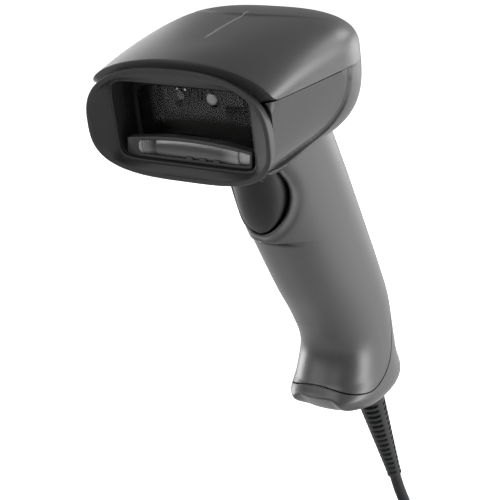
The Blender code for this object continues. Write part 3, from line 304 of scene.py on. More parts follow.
def addNode(tree, kind, settings=None, **inputs):
    node = tree.nodes.new("ShaderNode" + kind)
    for key, value in (settings or {}).items():
        setattr(node, key, value)
    return setInputs(tree, node, inputs)


def mathNode(tree, operation, first, second=0.5, clamp=False):
    settings = {"operation": operation, "use_clamp": clamp}
    return addNode(tree, "Math", settings, i0=first, i1=second).outputs[0]


def scaled(tree, value, times, plus):
    return mathNode(tree, "ADD", mathNode(tree, "MULTIPLY", value, times), plus)


def weighed(tree, first, weight, second, secondWeight):
    return scaled(tree, first, weight, mathNode(tree, "MULTIPLY", second, secondWeight))


def mixColour(tree, share, first, second):
    return addNode(tree, "Mix", {"data_type": "RGBA"}, i0=share, i6=first, i7=second).outputs[2]


def noise(tree, spot, scale, detail, **more):
    return addNode(tree, "TexNoise", Vector=spot, Scale=scale, Detail=detail, **more).outputs[0]


def mapRange(tree, value, **ends):
    return addNode(tree, "MapRange", Value=value, **ends).outputs[0]


def bumpNode(tree, height, strength, distance):
    return addNode(tree, "Bump", Height=height, Strength=strength, Distance=distance).outputs[0]


def newGroup(name, inputs, outputs):
    group = bpy.data.node_groups.new(name, "ShaderNodeTree")
    for label, kind, value in inputs:
        socket = group.interface.new_socket(name=label, in_out="INPUT", socket_type="NodeSocket" + kind)
        if value is not None:
            socket.default_value = value
    for label, kind in outputs:
        group.interface.new_socket(name=label, in_out="OUTPUT", socket_type="NodeSocket" + kind)
    return group, group.nodes.new("NodeGroupInput").outputs, group.nodes.new("NodeGroupOutput")


def makeMouldGrain():
    # moulded plastic: soft patches in the colour and gloss, a fine grain in the height
    group, given, end = newGroup(
        "mouldGrain",
        [("Vector", "Vector", None), ("Dark", "Color", (0.04, 0.04, 0.04, 1)),
         ("Light", "Color", (0.05, 0.05, 0.05, 1)), ("Gloss", "Float", 0.4), ("Spread", "Float", 0.06),
         ("Patch", "Float", 70.0), ("Grain", "Float", 3200.0)],
        [("Color", "Color"), ("Roughness", "Float"), ("Height", "Float")],
    )
    patch = noise(group, given["Vector"], given["Patch"], 4.0)
    grain = noise(group, given["Vector"], given["Grain"], 2.0, Roughness=0.6)
    pitScale = mathNode(group, "MULTIPLY", given["Grain"], 0.6)
    pits = addNode(group, "TexVoronoi", Vector=given["Vector"], Scale=pitScale).outputs[0]
    share = weighed(group, patch, 0.65, grain, 0.35)
    wander = mathNode(group, "MULTIPLY", mathNode(group, "SUBTRACT", share, 0.5), given["Spread"])
    rough = mathNode(group, "ADD", given["Gloss"], mathNode(group, "MULTIPLY", wander, 2.0), True)
    colour = mixColour(group, share, given["Dark"], given["Light"])
    setInputs(group, end, dict(Color=colour, Roughness=rough, Height=weighed(group, grain, 0.7, pits, 0.3)))
    return group


def makeEdgeWear():
    # handling along the edges: a broken mask where the surface turns outwards
    group, given, end = newGroup(
        "edgeWear",
        [("Vector", "Vector", None), ("Start", "Float", 0.53), ("Full", "Float", 0.64),
         ("Breaks", "Float", 240.0)],
        [("Mask", "Float")],
    )
    turn = group.nodes.new("ShaderNodeNewGeometry").outputs["Pointiness"]
    edge = mapRange(group, turn, From_Min=given["Start"], From_Max=given["Full"])
    breaks = noise(group, given["Vector"], given["Breaks"], 3.0)
    setInputs(group, end, dict(Mask=mathNode(group, "MULTIPLY", edge, breaks, True)))
    return group


mouldGrain = makeMouldGrain()
edgeWear = makeEdgeWear()


def newFinish(name):
    material = bpy.data.materials.new(name)
    material.use_nodes = True
    tree = material.node_tree
    return material, tree, tree.nodes.new("ShaderNodeTexCoord").outputs["Object"]


def paint(material, **inputs):
    tree = material.node_tree
    setInputs(tree, tree.nodes["Principled BSDF"], inputs)
    return material


def placeGroup(tree, group, **inputs):
    node = tree.nodes.new("ShaderNodeGroup")
    node.node_tree = group
    return setInputs(tree, node, inputs).outputs


def grey(value, tint=(1.0, 1.0, 1.0)):
    return (value * tint[0], value * tint[1], value * tint[2], 1.0)


def plasticFinish(name, dark, light, gloss, grain=3200.0, bump=0.05, wear=0.25, tint=(1, 1, 1),
                  specular=0.5):
    material, tree, spot = newFinish(name)
    mould = placeGroup(tree, mouldGrain, Vector=spot, Dark=grey(dark, tint), Light=grey(light, tint),
                       Gloss=gloss, Grain=grain)
    worn = mathNode(tree, "MULTIPLY", placeGroup(tree, edgeWear, Vector=spot)["Mask"], wear)
    colour = mixColour(tree, worn, mould["Color"], grey(light * 2.2, tint))
    return paint(material, Base_Color=colour, Roughness=mould["Roughness"], Specular_IOR_Level=specular,
                 Normal=bumpNode(tree, mould["Height"], bump, 0.0002))


def metalFinish(name, dark, light, gloss, stretch):
    material, tree, spot = newFinish(name)
    streak = noise(tree, addNode(tree, "Mapping", Vector=spot, Scale=stretch).outputs[0], 1400.0, 4.0)
    share = weighed(tree, streak, 0.6, noise(tree, spot, 220.0, 3.0), 0.4)
    return paint(material, Base_Color=mixColour(tree, share, grey(dark), grey(light)), Metallic=1.0,
                 Roughness=scaled(tree, share, 0.2, gloss), Normal=bumpNode(tree, streak, 0.08, 0.0001))


def glassFinish(name, rough, low, high, ior=1.46):
    material, tree, spot = newFinish(name)
    haze = noise(tree, spot, 300.0, 3.0)
    return paint(material, Base_Color=mixColour(tree, haze, grey(low), grey(high)), IOR=ior,
                 Transmission_Weight=1.0, Roughness=mathNode(tree, "MULTIPLY", haze, rough))


def boardFinish(name, base, line):
    # solder mask over faint copper tracks
    material, tree, spot = newFinish(name)
    tracks = addNode(tree, "TexBrick", {"offset": 0.5}, Vector=spot, Scale=420.0, Mortar_Size=0.06,
                     Color1=base, Color2=base, Mortar=line).outputs[0]
    cloud = noise(tree, spot, 130.0, 3.0)
    colour = mixColour(tree, mathNode(tree, "MULTIPLY", cloud, 0.5), tracks, base)
    return paint(material, Base_Color=colour, Roughness=scaled(tree, cloud, 0.2, 0.25))


def diffuserHighlitFinish(name, dim, bright):
    # milky plastic, painted lighter towards both ends of the strip: a painted highlight, which on the light
    # bar lies over its ribs and its right end
    material, tree, spot = newFinish(name)
    side = mathNode(tree, "ABSOLUTE", addNode(tree, "SeparateXYZ", Vector=spot).outputs[0])
    cloud = noise(tree, spot, 260.0, 3.0)
    # painted highlight: the colour turns lighter towards the ends and stands in for glints of light
    away = mapRange(tree, side, From_Min=0.013, From_Max=0.021)
    share = mathNode(tree, "MULTIPLY", away, mathNode(tree, "ADD", cloud, 0.35), True)
    return paint(material, Base_Color=mixColour(tree, share, grey(dim), grey(bright)),
                 Subsurface_Weight=0.15, Subsurface_Radius=(0.001, 0.001, 0.001),
                 Roughness=scaled(tree, cloud, 0.15, 0.16))


slate = (0.94, 1.0, 1.05)
finishes = {
    "cover": plasticFinish("coverPlastic", 0.033, 0.042, 0.40, specular=0.46),
    # housing and grip are one grey plastic in two copies: the housing's with less specular and the grip's
    # with more, so the head's sides render darker and the handle lighter, painted shade and painted light
    "housing": plasticFinish("housingShadedPlastic", 0.019, 0.025, 0.42, specular=0.33),
    "grip": plasticFinish("gripLitPlastic", 0.018, 0.024, 0.41, specular=0.68),
    "bezel": plasticFinish("bezelPlastic", 0.019, 0.024, 0.55, bump=0.08, specular=0.32),
    "trigger": plasticFinish("triggerPlastic", 0.010, 0.014, 0.46, specular=0.24),
    "black": plasticFinish("hoodBlack", 0.011, 0.015, 0.65, bump=0.1, wear=0.05, specular=0.15),
    "lens": plasticFinish("lensBlack", 0.006, 0.010, 0.12, bump=0.0, wear=0.0),
    "chip": plasticFinish("chipBlack", 0.012, 0.018, 0.5, wear=0.1),
    "cord": plasticFinish("cordSlate", 0.011, 0.015, 0.6, tint=slate, bump=0.12, wear=0.1, specular=0.2),
    "relief": plasticFinish("reliefSlate", 0.010, 0.014, 0.6, tint=slate, bump=0.12, wear=0.1, specular=0.3),
    "rubber": plasticFinish("footRubber", 0.03, 0.04, 0.7, bump=0.2, wear=0.1),
    # white for the LEDs and the switch plunger, and for the painted highlights on the camera cluster
    "whiteAndGlint": plasticFinish("whitePartAndGlint", 0.55, 0.7, 0.35, wear=0.0),
    "aimer": plasticFinish("aimerGrey", 0.14, 0.24, 0.25, grain=900.0, wear=0.0),
    "flex": plasticFinish("flexAmber", 0.3, 0.4, 0.35, tint=(1.0, 0.45, 0.08), wear=0.0),
    "steel": metalFinish("plainSteel", 0.34, 0.44, 0.38, (1.0, 1.0, 6.0)),
    "glass": glassFinish("windowGlass", 0.03, 0.96, 1.0, 1.16),
    "clear": glassFinish("clearPlastic", 0.12, 0.85, 0.95),
    "board": boardFinish("boardGreen", (0.01, 0.07, 0.025, 1), (0.03, 0.16, 0.06, 1)),
    "diffuser": diffuserHighlitFinish("diffuserGreyHighlit", 0.05, 0.36),
    "strip": diffuserHighlitFinish("stripGrey", 0.2, 0.26),
}
print("finishes made:", len(finishes))

# cord: the lead out of the strain relief and the coil that it is put away in
cordRoute = dict(
    diameter=0.0046, outlet=(0.0, 0.0169, -0.052), lean=radians(16.1), reliefLength=0.051,
    inRelief=0.004,
    bends=((0.0010, 0.0362, -0.1195), (0.0024, 0.0377, -0.1270), (0.0059, 0.0380, -0.1332)), gap=0.0003,
    coilZ=-0.168, coilRear=0.038, coilRadius=0.0253, layers=4, turns=9, pitch=0.00515,
    start=radians(35.0), end=radians(80.0), loopPoints=60, leadIn=0.005, leadOut=0.015,
)
cordAxis = Matrix.Translation(cordRoute["outlet"]) @ Matrix.Rotation(cordRoute["lean"], 4, "X")
coilSweep = cordRoute["end"] - cordRoute["start"] + 2 * pi * cordRoute["turns"]


def coilTurns(route):
    layerSweep = coilSweep / route["layers"]
    width = route["pitch"] * layerSweep / (2 * pi)
    count = round(coilSweep / (2 * pi) * route["loopPoints"])
    last = route["layers"] - 1
    points = []
    for index in range(count + 1):
        turned = coilSweep * index / count
        layer = min(last, int(turned / layerSweep))
        share = turned / layerSweep - layer
        inward = share if layer % 2 == 0 else 1 - share
        radius = route["coilRadius"] + width / 2 - width * inward
        nearest = min(last, max(1, round(turned / layerSweep)))
        climb = (turned - nearest * layerSweep) / pi
        level = nearest - 0.5 + min(0.5, max(-0.5, climb))
        angle = route["start"] + turned
        x, z = radius * sin(angle), route["coilZ"] + radius * cos(angle)
        points.append(Vector((x, route["coilRear"] - route["pitch"] * level, z)))
    return points


def smoothPath(points, step):
    path = []
    ends = [2 * points[0] - points[1], *points, 2 * points[-1] - points[-2]]
    for before, here, there, after in zip(ends, ends[1:], ends[2:], ends[3:]):
        count = max(1, round((there - here).length / step))
        for index in range(count):
            t = index / count
            bend = (2 * before - 5 * here + 4 * there - after) * t**2
            bend += (3 * here - before - 3 * there + after) * t**3
            path.append(0.5 * (2 * here + (there - before) * t + bend))
    return path + [points[-1]]


def heading(angle):
    return Vector((cos(angle), 0, -sin(angle)))


def makeCord(route):
    thick = route["diameter"]
    turns = coilTurns(route)
    first = turns[0] - heading(route["start"]) * route["leadIn"]
    ahead = heading(route["end"]) * route["leadOut"]
    last = [turns[-1] + ahead * share for share in (0.25, 0.5, 0.75, 1.0)]
    inside, out, along = (cordAxis @ Vector((0, 0, ahead - route["reliefLength"]))
                          for ahead in (route["inRelief"], -route["gap"], -2 * thick))
    runIn = first - heading(route["start"]) * (route["gap"] + thick)
    lead = smoothPath([inside, out, along, *map(Vector, route["bends"]), runIn, first], 0.55 * thick)
    points = lead + turns + last
    deselectAll()
    curve = bpy.data.curves.new("dataCord", "CURVE")
    curve.dimensions = "3D"
    curve.bevel_depth = thick / 2
    curve.bevel_resolution = 5
    curve.use_fill_caps = True
    spline = curve.splines.new("POLY")
    spline.points.add(len(points) - 1)
    for spot, point in zip(spline.points, points):
        spot.co = (*point, 1.0)
    spline.use_smooth = True
    cord = bpy.data.objects.new("dataCord", curve)
    scene.collection.objects.link(cord)
    length = sum((there - here).length for here, there in zip(points, points[1:]))
    print("cord laid:", len(points), "points,", round(length, 4), "m")
    return cord, out, points[-1]


dataCord, cordExit, cordEnd = makeCord(cordRoute)
dress(dataCord, "cord", "cord_slate", "cord_lead", "cord_coil")

# head: the form that the cover and the housing share
head = dict(
    lipY=-0.0695, roundY=-0.03, rearY=0.0042, belt=0.0910, lipTop=0.1017, top=0.1052, floor=0.062,
    end=0.0828, lipHalf=0.0347, half=0.0349, lipArch=1.95, arch=2.8, lipLower=4.5, lower=3.2,
    rearPower=2.1, seam=0.0005, seamEnd=-0.0205, seamRun=0.006, splitZ=0.0909, splitFall=0.0625,
    wall=0.0022, thickRun=0.0045, thickBlend=0.003, thickZ=0.0765, thickRise=0.004,
)


def headSize(y):
    # half width, top, belt and floor of the head at a station, and the powers of its upper and lower half
    run = min(1.0, (y - head["lipY"]) / (head["roundY"] - head["lipY"]))
    grown = run * (2 - run)
    half = blend(head["lipHalf"], head["half"], grown)
    top = blend(head["lipTop"], head["top"], grown)
    arch = blend(head["lipArch"], head["arch"], grown)
    lower = blend(head["lipLower"], head["lower"], grown)
    reach = min(1.0, max(0.0, y - head["roundY"]) / (head["rearY"] - head["roundY"]))
    close = max(1e-4, 1 - reach ** head["rearPower"]) ** (1 / head["rearPower"])
    top, belt, floor = (blend(head["end"], z, close) for z in (top, head["belt"], head["floor"]))
    return half * close, top, belt, floor, arch, lower


def headSkin(size, angle):
    half, top, belt, floor, arch, lower = size
    tall, power = (top - belt, arch) if sin(angle) > 0 else (belt - floor, lower)
    x, up = roundedPoint(angle, half, tall, power)
    return x, belt + up


def seamGap(y):
    return head["seam"] / 2 * ease((head["seamEnd"] - y) / head["seamRun"])


def splitZ(y):
    # the line between cover and housing falls a little towards the rear
    return head["splitZ"] - head["splitFall"] * (min(max(y, head["lipY"]), head["seamEnd"]) - head["lipY"])


def beltAngle(size, edge):
    # direction in which the section meets a level plane
    half, top, belt, floor, arch, lower = size
    if top <= edge:
        return pi / 2
    tall, power, start = (belt - floor, lower, -pi / 2) if edge < belt else (top - belt, arch, 0.0)
    up = edge - belt
    return solve(lambda angle: roundedPoint(angle, half, tall, power)[1] - up, start, start + pi / 2)


def wallThickFront(piece, thick):
    # a wall that is thicker along the upper front edge than over the rest
    wall = piece.vertex_groups.new(name="wall")
    for vertex in piece.data.vertices:
        near = ease((head["lipY"] + head["thickRun"] - vertex.co.y) / head["thickBlend"])
        near *= ease((vertex.co.z - head["thickZ"]) / head["thickRise"])
        wall.add([vertex.index], blend(head["wall"] / thick, 1.0, near), "REPLACE")
    return wallInside(piece, thick, vertex_group="wall", thickness_vertex_group=0.0)


# top cover
cover = dict(
    columns=170, rows=130, crowd=0.3, corner=0.0032, cornerRise=0.0040, plateau=0.00042,
    plateauRear=-0.0150, plateauLong=0.0165, plateauHalf=0.030, plateauEdge=0.0009, plateauFrom=0.004,
    plateauBlend=0.014, lean=0.7, lipWall=0.0050, edge=0.0009, edgeEnd=0.003, crownPower=1.5,
    inside=(0.0, -0.035, 0.085),
)


def plateauShare(x, y):
    # one on the raised rear of the cover, none in front of it
    out = hypot(x / cover["plateauHalf"], max(0.0, cover["plateauRear"] - y) / cover["plateauLong"])
    return ease((1 - out) * cover["plateauLong"] / cover["plateauEdge"] + 0.5)


def makeCover():
    endY = solve(lambda y: splitZ(y) + 1e-5 - headSize(y)[1], head["roundY"], head["rearY"])

    def makeRow(along):
        share = along + cover["crowd"] * along * (1 - along)

        def place(across):
            lip = head["lipTop"] - head["belt"]
            rise = roundedPoint(pi * across, head["lipHalf"], lip, head["lipArch"])[1]
            down = unit(1 - rise / cover["cornerRise"])
            front = head["lipY"] + cover["corner"] * (1 - sqrt(1 - down**2))
            y = blend(front, endY, share)
            size = headSize(y)
            edge = splitZ(y) + seamGap(y)
            start = beltAngle(size, edge)
            angle = start + (pi - 2 * start) * across
            x, z = headSkin(size, angle)
            behind = ease((y - front - cover["plateauFrom"]) / cover["plateauBlend"])
            low = cover["plateau"] * (1 - plateauShare(x, y)) * behind
            low *= max(0.0, sin(angle)) ** cover["crownPower"]
            side = cover["lean"] * x / size[0]
            steep = hypot(side, 1.0)
            return (x - low * side / steep, y, max(z, edge) - low / steep)

        return place

    piece = gridPiece("topCover", cover["columns"], cover["rows"], makeRow)
    faceOut(mergeDoubles(piece), cover["inside"])
    wallThickFront(piece, cover["lipWall"])
    bevelSharp(piece, cover["edge"], 3, 50, lambda spot: spot.y < head["seamEnd"] - cover["edgeEnd"])
    dress(smooth(piece, 35), "cover", "cover_grey", "top_cover")


# handle, also the form that the housing's socket is cut with
handle = dict(
    stations=(  # height, front, rear and half width
        (-0.0520, -0.0195, 0.0283, 0.0174), (-0.0440, -0.0197, 0.0280, 0.0174),
        (-0.0370, -0.0142, 0.0260, 0.0165), (-0.0260, -0.0096, 0.0253, 0.0156),
        (-0.0140, -0.0134, 0.0244, 0.0157), (0.0000, -0.0205, 0.0202, 0.0161),
        (0.0130, -0.0264, 0.0157, 0.0163), (0.0270, -0.0323, 0.0106, 0.0166),
        (0.0430, -0.0386, 0.0047, 0.0169), (0.0660, -0.0476, -0.0045, 0.0173),
    ),
    power=2.4, lean=radians(19.1), baseRound=0.008, baseSlope=0.0095, slopeZ=-0.0428, slopePower=1.5,
    rimZ=0.0266, rimPower=8, rimLift=-8.0, rimBlend=0.0014, rimProud=0.0034, rimCrease=0.0011,
    creaseLow=0.0011, creaseWide=0.0008, seam=0.0004, seamFrontZ=-0.0379, seamLowZ=-0.0424,
    seamHalf=0.0165, seamArch=1.8,
    seamRear=(  # root of the rise over the lowest point in millimetres, and how far back
        (0.0, -0.0052), (1.0, 0.0008), (1.7, 0.0056), (2.4, 0.0097), (3.1, 0.0127), (3.85, 0.0150),
        (4.73, 0.0166), (5.37, 0.0167), (5.95, 0.0152), (6.51, 0.0131), (7.44, 0.0086),
    ),
    wall=0.002, edgeTop=0.063, socketFrom=0.03, socketOver=0.004, socketGrid=(96, 24),
)
baseZ, neckZ = handle["stations"][0][0], handle["stations"][-1][0]


def stationsAt(table, at):
    # values between the rows of a table, on a smooth curve
    last = len(table) - 2
    row = min(last, max(0, sum(1 for entry in table[1:-1] if entry[0] <= at)))
    before, here = table[max(row - 1, 0)], table[row]
    there, after = table[row + 1], table[min(row + 2, last + 1)]
    span = there[0] - here[0]
    share = (at - here[0]) / span
    values = []
    for column in range(1, len(here)):
        start = (there[column] - before[column]) / (there[0] - before[0]) * span
        end = (after[column] - here[column]) / (after[0] - here[0]) * span
        rise = there[column] - here[column]
        bend = share * (1 - share) * ((start - rise) * (1 - share) - (end - rise) * share)
        values.append(here[column] + rise * share + bend)
    return values


def handleSection(z, grow=0.0):
    # the handle's outline at a height, as a function of the direction
    front, rear, half = stationsAt(handle["stations"], min(max(z, baseZ), neckZ))
    radius = handle["baseRound"]
    above = min(max(0.0, z - baseZ), radius)
    tuck = radius - sqrt(max(0.0, radius**2 - (radius - above) ** 2)) - grow
    middle, depth = (front + rear) / 2, (rear - front) / 2
    below = max(0.0, (handle["slopeZ"] - z) / (handle["slopeZ"] - baseZ))
    slope = handle["baseSlope"] * below ** handle["slopePower"]

    def place(angle):
        x, back = roundedPoint(angle, half - tuck, depth - tuck, handle["power"])
        ahead = max(0.0, -back / (depth - tuck))
        over = z - handle["rimZ"] - handle["rimLift"] * x**2  # over the ledge below the trigger
        proud = handle["rimProud"] * ease(over / handle["rimBlend"] + 0.5)
        proud -= handle["rimCrease"] * bell(over + handle["creaseLow"], handle["creaseWide"])
        return x, middle + back - proud * ahead ** handle["rimPower"] + slope * ahead

    return place


def seamLine(z, shift):
    # how far back the seam lies at a height
    if z >= 0:
        return handle["seamRear"][-2][1] - z * tan(handle["lean"]) + shift
    rise = sqrt(max(0.0, (z + shift - handle["seamLowZ"]) * 1000))
    return stationsAt(handle["seamRear"], rise)[0] + shift


def seamAngle(z, shift):
    place = handleSection(z)
    target = seamLine(z, shift)
    return solve(lambda angle: place(angle)[1] - target, -pi / 2, pi / 2)


def seamWidth(z, shift):
    # half the width that the base takes of the front at a height
    drop = (handle["seamFrontZ"] - shift - z) / (handle["seamFrontZ"] - handle["seamLowZ"])
    return handle["seamHalf"] * unit(drop) ** (1 / handle["seamArch"])


def seamHeight(x, shift):
    drop = min(1.0, abs(x) / handle["seamHalf"]) ** handle["seamArch"]
    return blend(handle["seamFrontZ"], handle["seamLowZ"], drop) - shift


def makeSocket():
    # the handle's form, a little grown, to cut its socket in the head
    def makeRow(along):
        z = blend(handle["socketFrom"], neckZ + handle["socketOver"], along)
        section = handleSection(z, head["seam"])
        return lambda across: (*section(2 * pi * across), z)

    piece = mergeDoubles(gridPiece("socketCutter", *handle["socketGrid"], makeRow))
    with editing(piece):
        bpy.ops.mesh.select_all(action="DESELECT")
        bpy.ops.mesh.select_non_manifold()
        bpy.ops.mesh.edge_face_add()
    return piece


# head housing with its recessed sides
housing = dict(
    columns=260, rows=172, panelRear=-0.0253, panelFoot=0.0661, panelRise=0.0034, panelCorner=0.0170,
    frontRecess=0.0018, rearRecess=0.0010, topShare=0.35, groove=0.0016, rearShare=0.4,
    frontGroove=0.0038, rearGroove=0.0016, step=0.0013, leaf=0.0009, leafFrom=-0.0300, leafTo=-0.0210,
    leafTall=0.0018, leafPower=0.6, straight=0.7, evenTo=-0.0215, fine=300, closer=3, closeZ=0.088,
    closeTall=0.014, closeX=0.018, closeWide=0.008, frontWall=0.0036, cheek=0.005, underCheek=0.014,
    drawn=0.96, drawSoft=0.6, edge=0.0004, edgeDeep=0.001, inside=(0.0, -0.035, 0.08),
)


def panelDepth(y, z):
    # how far the side panel lies below the skin: deepest along its edge, a leaf runs out under the cover
    along = ease((y - head["lipY"]) / (housing["panelRear"] - head["lipY"]))
    back = housing["panelRear"] - y
    up = z - housing["panelFoot"] - housing["panelRise"] * along
    corner = housing["panelCorner"]
    inside = min(back, up)
    if back < corner and up < corner:
        inside = corner - hypot(corner - back, corner - up)
    wide = blend(housing["frontGroove"], housing["rearGroove"], along)
    down = unit((splitZ(y) - z) / (splitZ(y) - housing["panelFoot"]))
    deep = blend(housing["frontRecess"], housing["rearRecess"], along)
    deep *= blend(housing["topShare"], 1.0, down)
    deep += housing["groove"] * blend(1.0, housing["rearShare"], along) * bell(max(0.0, inside), wide)
    run = unit((y - housing["leafFrom"]) / (housing["leafTo"] - housing["leafFrom"]))
    leaf = housing["leaf"] * (1 - ease((splitZ(y) - z) / housing["leafTall"]))
    leaf *= (1 - run) ** housing["leafPower"]
    return max(deep * ease(inside / housing["step"]), leaf if y > housing["leafFrom"] else 0.0)


def makeHousing():
    def makeRow(along):
        straight, evenTo = housing["straight"], housing["evenTo"]
        if along < straight:
            y = blend(head["lipY"], evenTo, along / straight)
        else:
            y = blend(evenTo, head["rearY"], sin((along - straight) / (1 - straight) * pi / 2))
        size = headSize(y)
        edge = splitZ(y) - seamGap(y)
        start = beltAngle(size, edge)

        def skin(angle):
            x, z = headSkin(size, angle)
            return x, min(z, edge)

        fine = housing["fine"]
        angles = [start - (pi + 2 * start) * step / fine for step in range(fine + 1)]
        spots = [skin(angle) for angle in angles]
        run = [0.0]  # length along the section, stretched where the columns lie closer
        for (x, z), (nextX, nextZ) in zip(spots, spots[1:]):
            low = ease((housing["closeZ"] - z) / housing["closeTall"])
            close = 1 + housing["closer"] * low * ease((abs(x) - housing["closeX"]) / housing["closeWide"])
            run.append(run[-1] + hypot(nextX - x, nextZ - z) * close)
        near, under = (min(1.0, (y - head["lipY"]) / housing[name]) for name in ("cheek", "underCheek"))

        def place(across):
            at = across * run[-1]
            step = min(len(run) - 2, max(0, bisect.bisect_right(run, at) - 1))
            share = (at - run[step]) / max(1e-9, run[step + 1] - run[step])
            x, z = skin(blend(angles[step], angles[step + 1], share))
            wide = max(0.0, abs(x) - panelDepth(y, z))
            high = (z - bezel["midZ"]) / bezel["rise"]
            if near < 1 and 0 < high < 1:  # the cheeks draw in to the bezel
                rim = bezel["half"] * (1 - high ** bezel["upper"]) ** (1 / bezel["upper"])
                wide = min(wide, blend(rim, wide, sqrt(1 - (1 - near) ** 2)))
            elif under < 1 and high <= 0:
                low, power = (bezel["midZ"] - z) / bezel["drop"], bezel["lower"]
                over = ((wide / bezel["half"]) ** power + low**power) ** (1 / power)
                if over > housing["drawn"]:
                    draw = blend(housing["drawn"] / over, 1.0, ease(under) ** housing["drawSoft"])
                    wide, z = wide * draw, bezel["midZ"] - low * bezel["drop"] * draw
            return (copysign(wide, x), y, z)

        return place

    piece = gridPiece("headHousing", housing["columns"], housing["rows"], makeRow)
    faceOut(mergeDoubles(piece), housing["inside"])
    wallThickFront(piece, housing["frontWall"])
    bevelSharp(piece, housing["edge"], 2, 50, lambda spot: spot.y < head["lipY"] + housing["edgeDeep"])
    cutAway(piece, makeSocket())
    dress(smooth(piece, 35), "housing", "grip_grey", "head_housing")


# nose bezel: outer rim, dished face, sharp opening and its spigot
bezel = dict(
    nose=-0.0720, bow=0.0022, openingY=-0.0702, backY=-0.0643, midZ=0.07996, half=0.0351, drop=0.0172,
    rise=0.0196, upper=2.58, lower=2.89, taper=0.0010, round=0.0005, band=0.0010, crease=0.00025,
    lip=0.0009, spigot=0.0016, seatEdge=0.0003, seatBow=0.15, seatIn=0.85, creaseIn=0.0002,
    dishEnd=0.0004, dishPower=1.4,
    lipSteps=((0.00045, 0.8), (0.0002, 0.66), (0.0, 0.6), (0.0, 0.15), (-0.0001, 0.0)),
    openMidZ=0.08085, openHalf=0.0264, openTall=0.0129, openPower=10.0, columns=280, rimRows=4,
    roundRows=6, dishRows=12, boreRows=6,
)


def outerRing(angle, inset):
    above = sin(angle) > 0
    tall, power = (bezel["rise"], bezel["upper"]) if above else (bezel["drop"], bezel["lower"])
    x, up = roundedPoint(angle, bezel["half"] - inset, tall - inset, power)
    return Vector((x, 0.0, bezel["midZ"] + up))


def openingRing(angle, grow):
    x, up = roundedPoint(angle, bezel["openHalf"] + grow, bezel["openTall"] + grow, bezel["openPower"])
    return Vector((x, 0.0, bezel["openMidZ"] + up))


def makeBezel():
    nose, opening, back = bezel["nose"], bezel["openingY"], bezel["backY"]
    seat = head["lipY"] - head["seam"]
    taper, rounding, lip, spigot = bezel["taper"], bezel["round"], bezel["lip"], bezel["spigot"]
    dish, rim = nose + bezel["crease"], rounding + bezel["band"]
    inner = rim + bezel["creaseIn"]
    edge, bow, drawn = seat - bezel["seatEdge"], bezel["seatBow"], taper * bezel["seatIn"]
    # rows: depth, share of the bow, way to the opening, inset of the rim, growth of the opening
    rows = [(seat, 0.0, 0.0, taper, 0.0), (edge, bow, 0.0, drawn, 0.0)]
    for share in shares(bezel["rimRows"]):
        depth = blend(edge, nose + rounding, share)
        rows.append((depth, blend(bow, 1.0, share), 0.0, drawn * (1 - share), 0.0))
    for turn in (pi / 2 * share for share in shares(bezel["roundRows"])):
        rows.append((nose + rounding * (1 - sin(turn)), 1.0, 0.0, rounding * (1 - cos(turn)), 0.0))
    rows += [(nose, 1.0, 0.0, rim * 0.7, 0.0), (nose, 1.0, 0.0, rim, 0.0), (dish, 1.0, 0.0, inner, lip)]
    for share in shares(bezel["dishRows"]):
        depth = blend(dish, opening - bezel["dishEnd"], share ** bezel["dishPower"])
        rows.append((depth, 1.0 - share, share, inner, lip))
    for ahead, grow in bezel["lipSteps"]:
        rows.append((opening - ahead, 0.0, 1.0, 0.0, lip * grow))
    rows += [(blend(opening, back, share), 0.0, 1.0, 0.0, 0.0) for share in shares(bezel["boreRows"])]
    rows += [(back, 0.0, 1.0, 0.0, spigot), (seat, 0.0, 1.0, 0.0, spigot), rows[0]]

    def place(row, across):
        y, bow, share, inset, grow = row
        angle = 2 * pi * across
        spot = outerRing(angle, inset).lerp(openingRing(angle, grow), share)
        return (spot.x, y - bow * bezel["bow"] * (spot.x / bezel["half"]) ** 2, spot.z)

    piece = recalcFaces(mergeDoubles(rowPiece("noseBezel", bezel["columns"], rows, place)))
    dress(smooth(piece, 38), "bezel", "bezel_grey", "nose_bezel")


# trigger and the mouth that it sits in
trigger = dict(
    stations=(  # height and front
        (0.0315, -0.0378), (0.0355, -0.0393), (0.0405, -0.0404), (0.0470, -0.0412), (0.0560, -0.0424),
        (0.0605, -0.0429),
    ),
    half=0.0100, depth=0.0079, roundZ=0.048, power=2.1, roundPower=2.0, crownRise=0.020, footDeep=0.12,
    footRows=0.6, sweepFrom=radians(-195), sweep=radians(210), mouthHalf=0.0113, mouthDrop=0.0174,
    mouthRise=0.0215, mouthPower=1.95, wall=0.0012, pivot=(0.0, -0.034, 0.0555), barrelRadius=0.0034,
    barrelLength=0.0036, barrelIn=0.0006, barrelEdge=0.0003, columns=96, rows=72,
    inside=(0.0, -0.02, 0.05), barrelSides=40,
)
footZ, crownZ = trigger["stations"][0][0], trigger["stations"][-1][0]


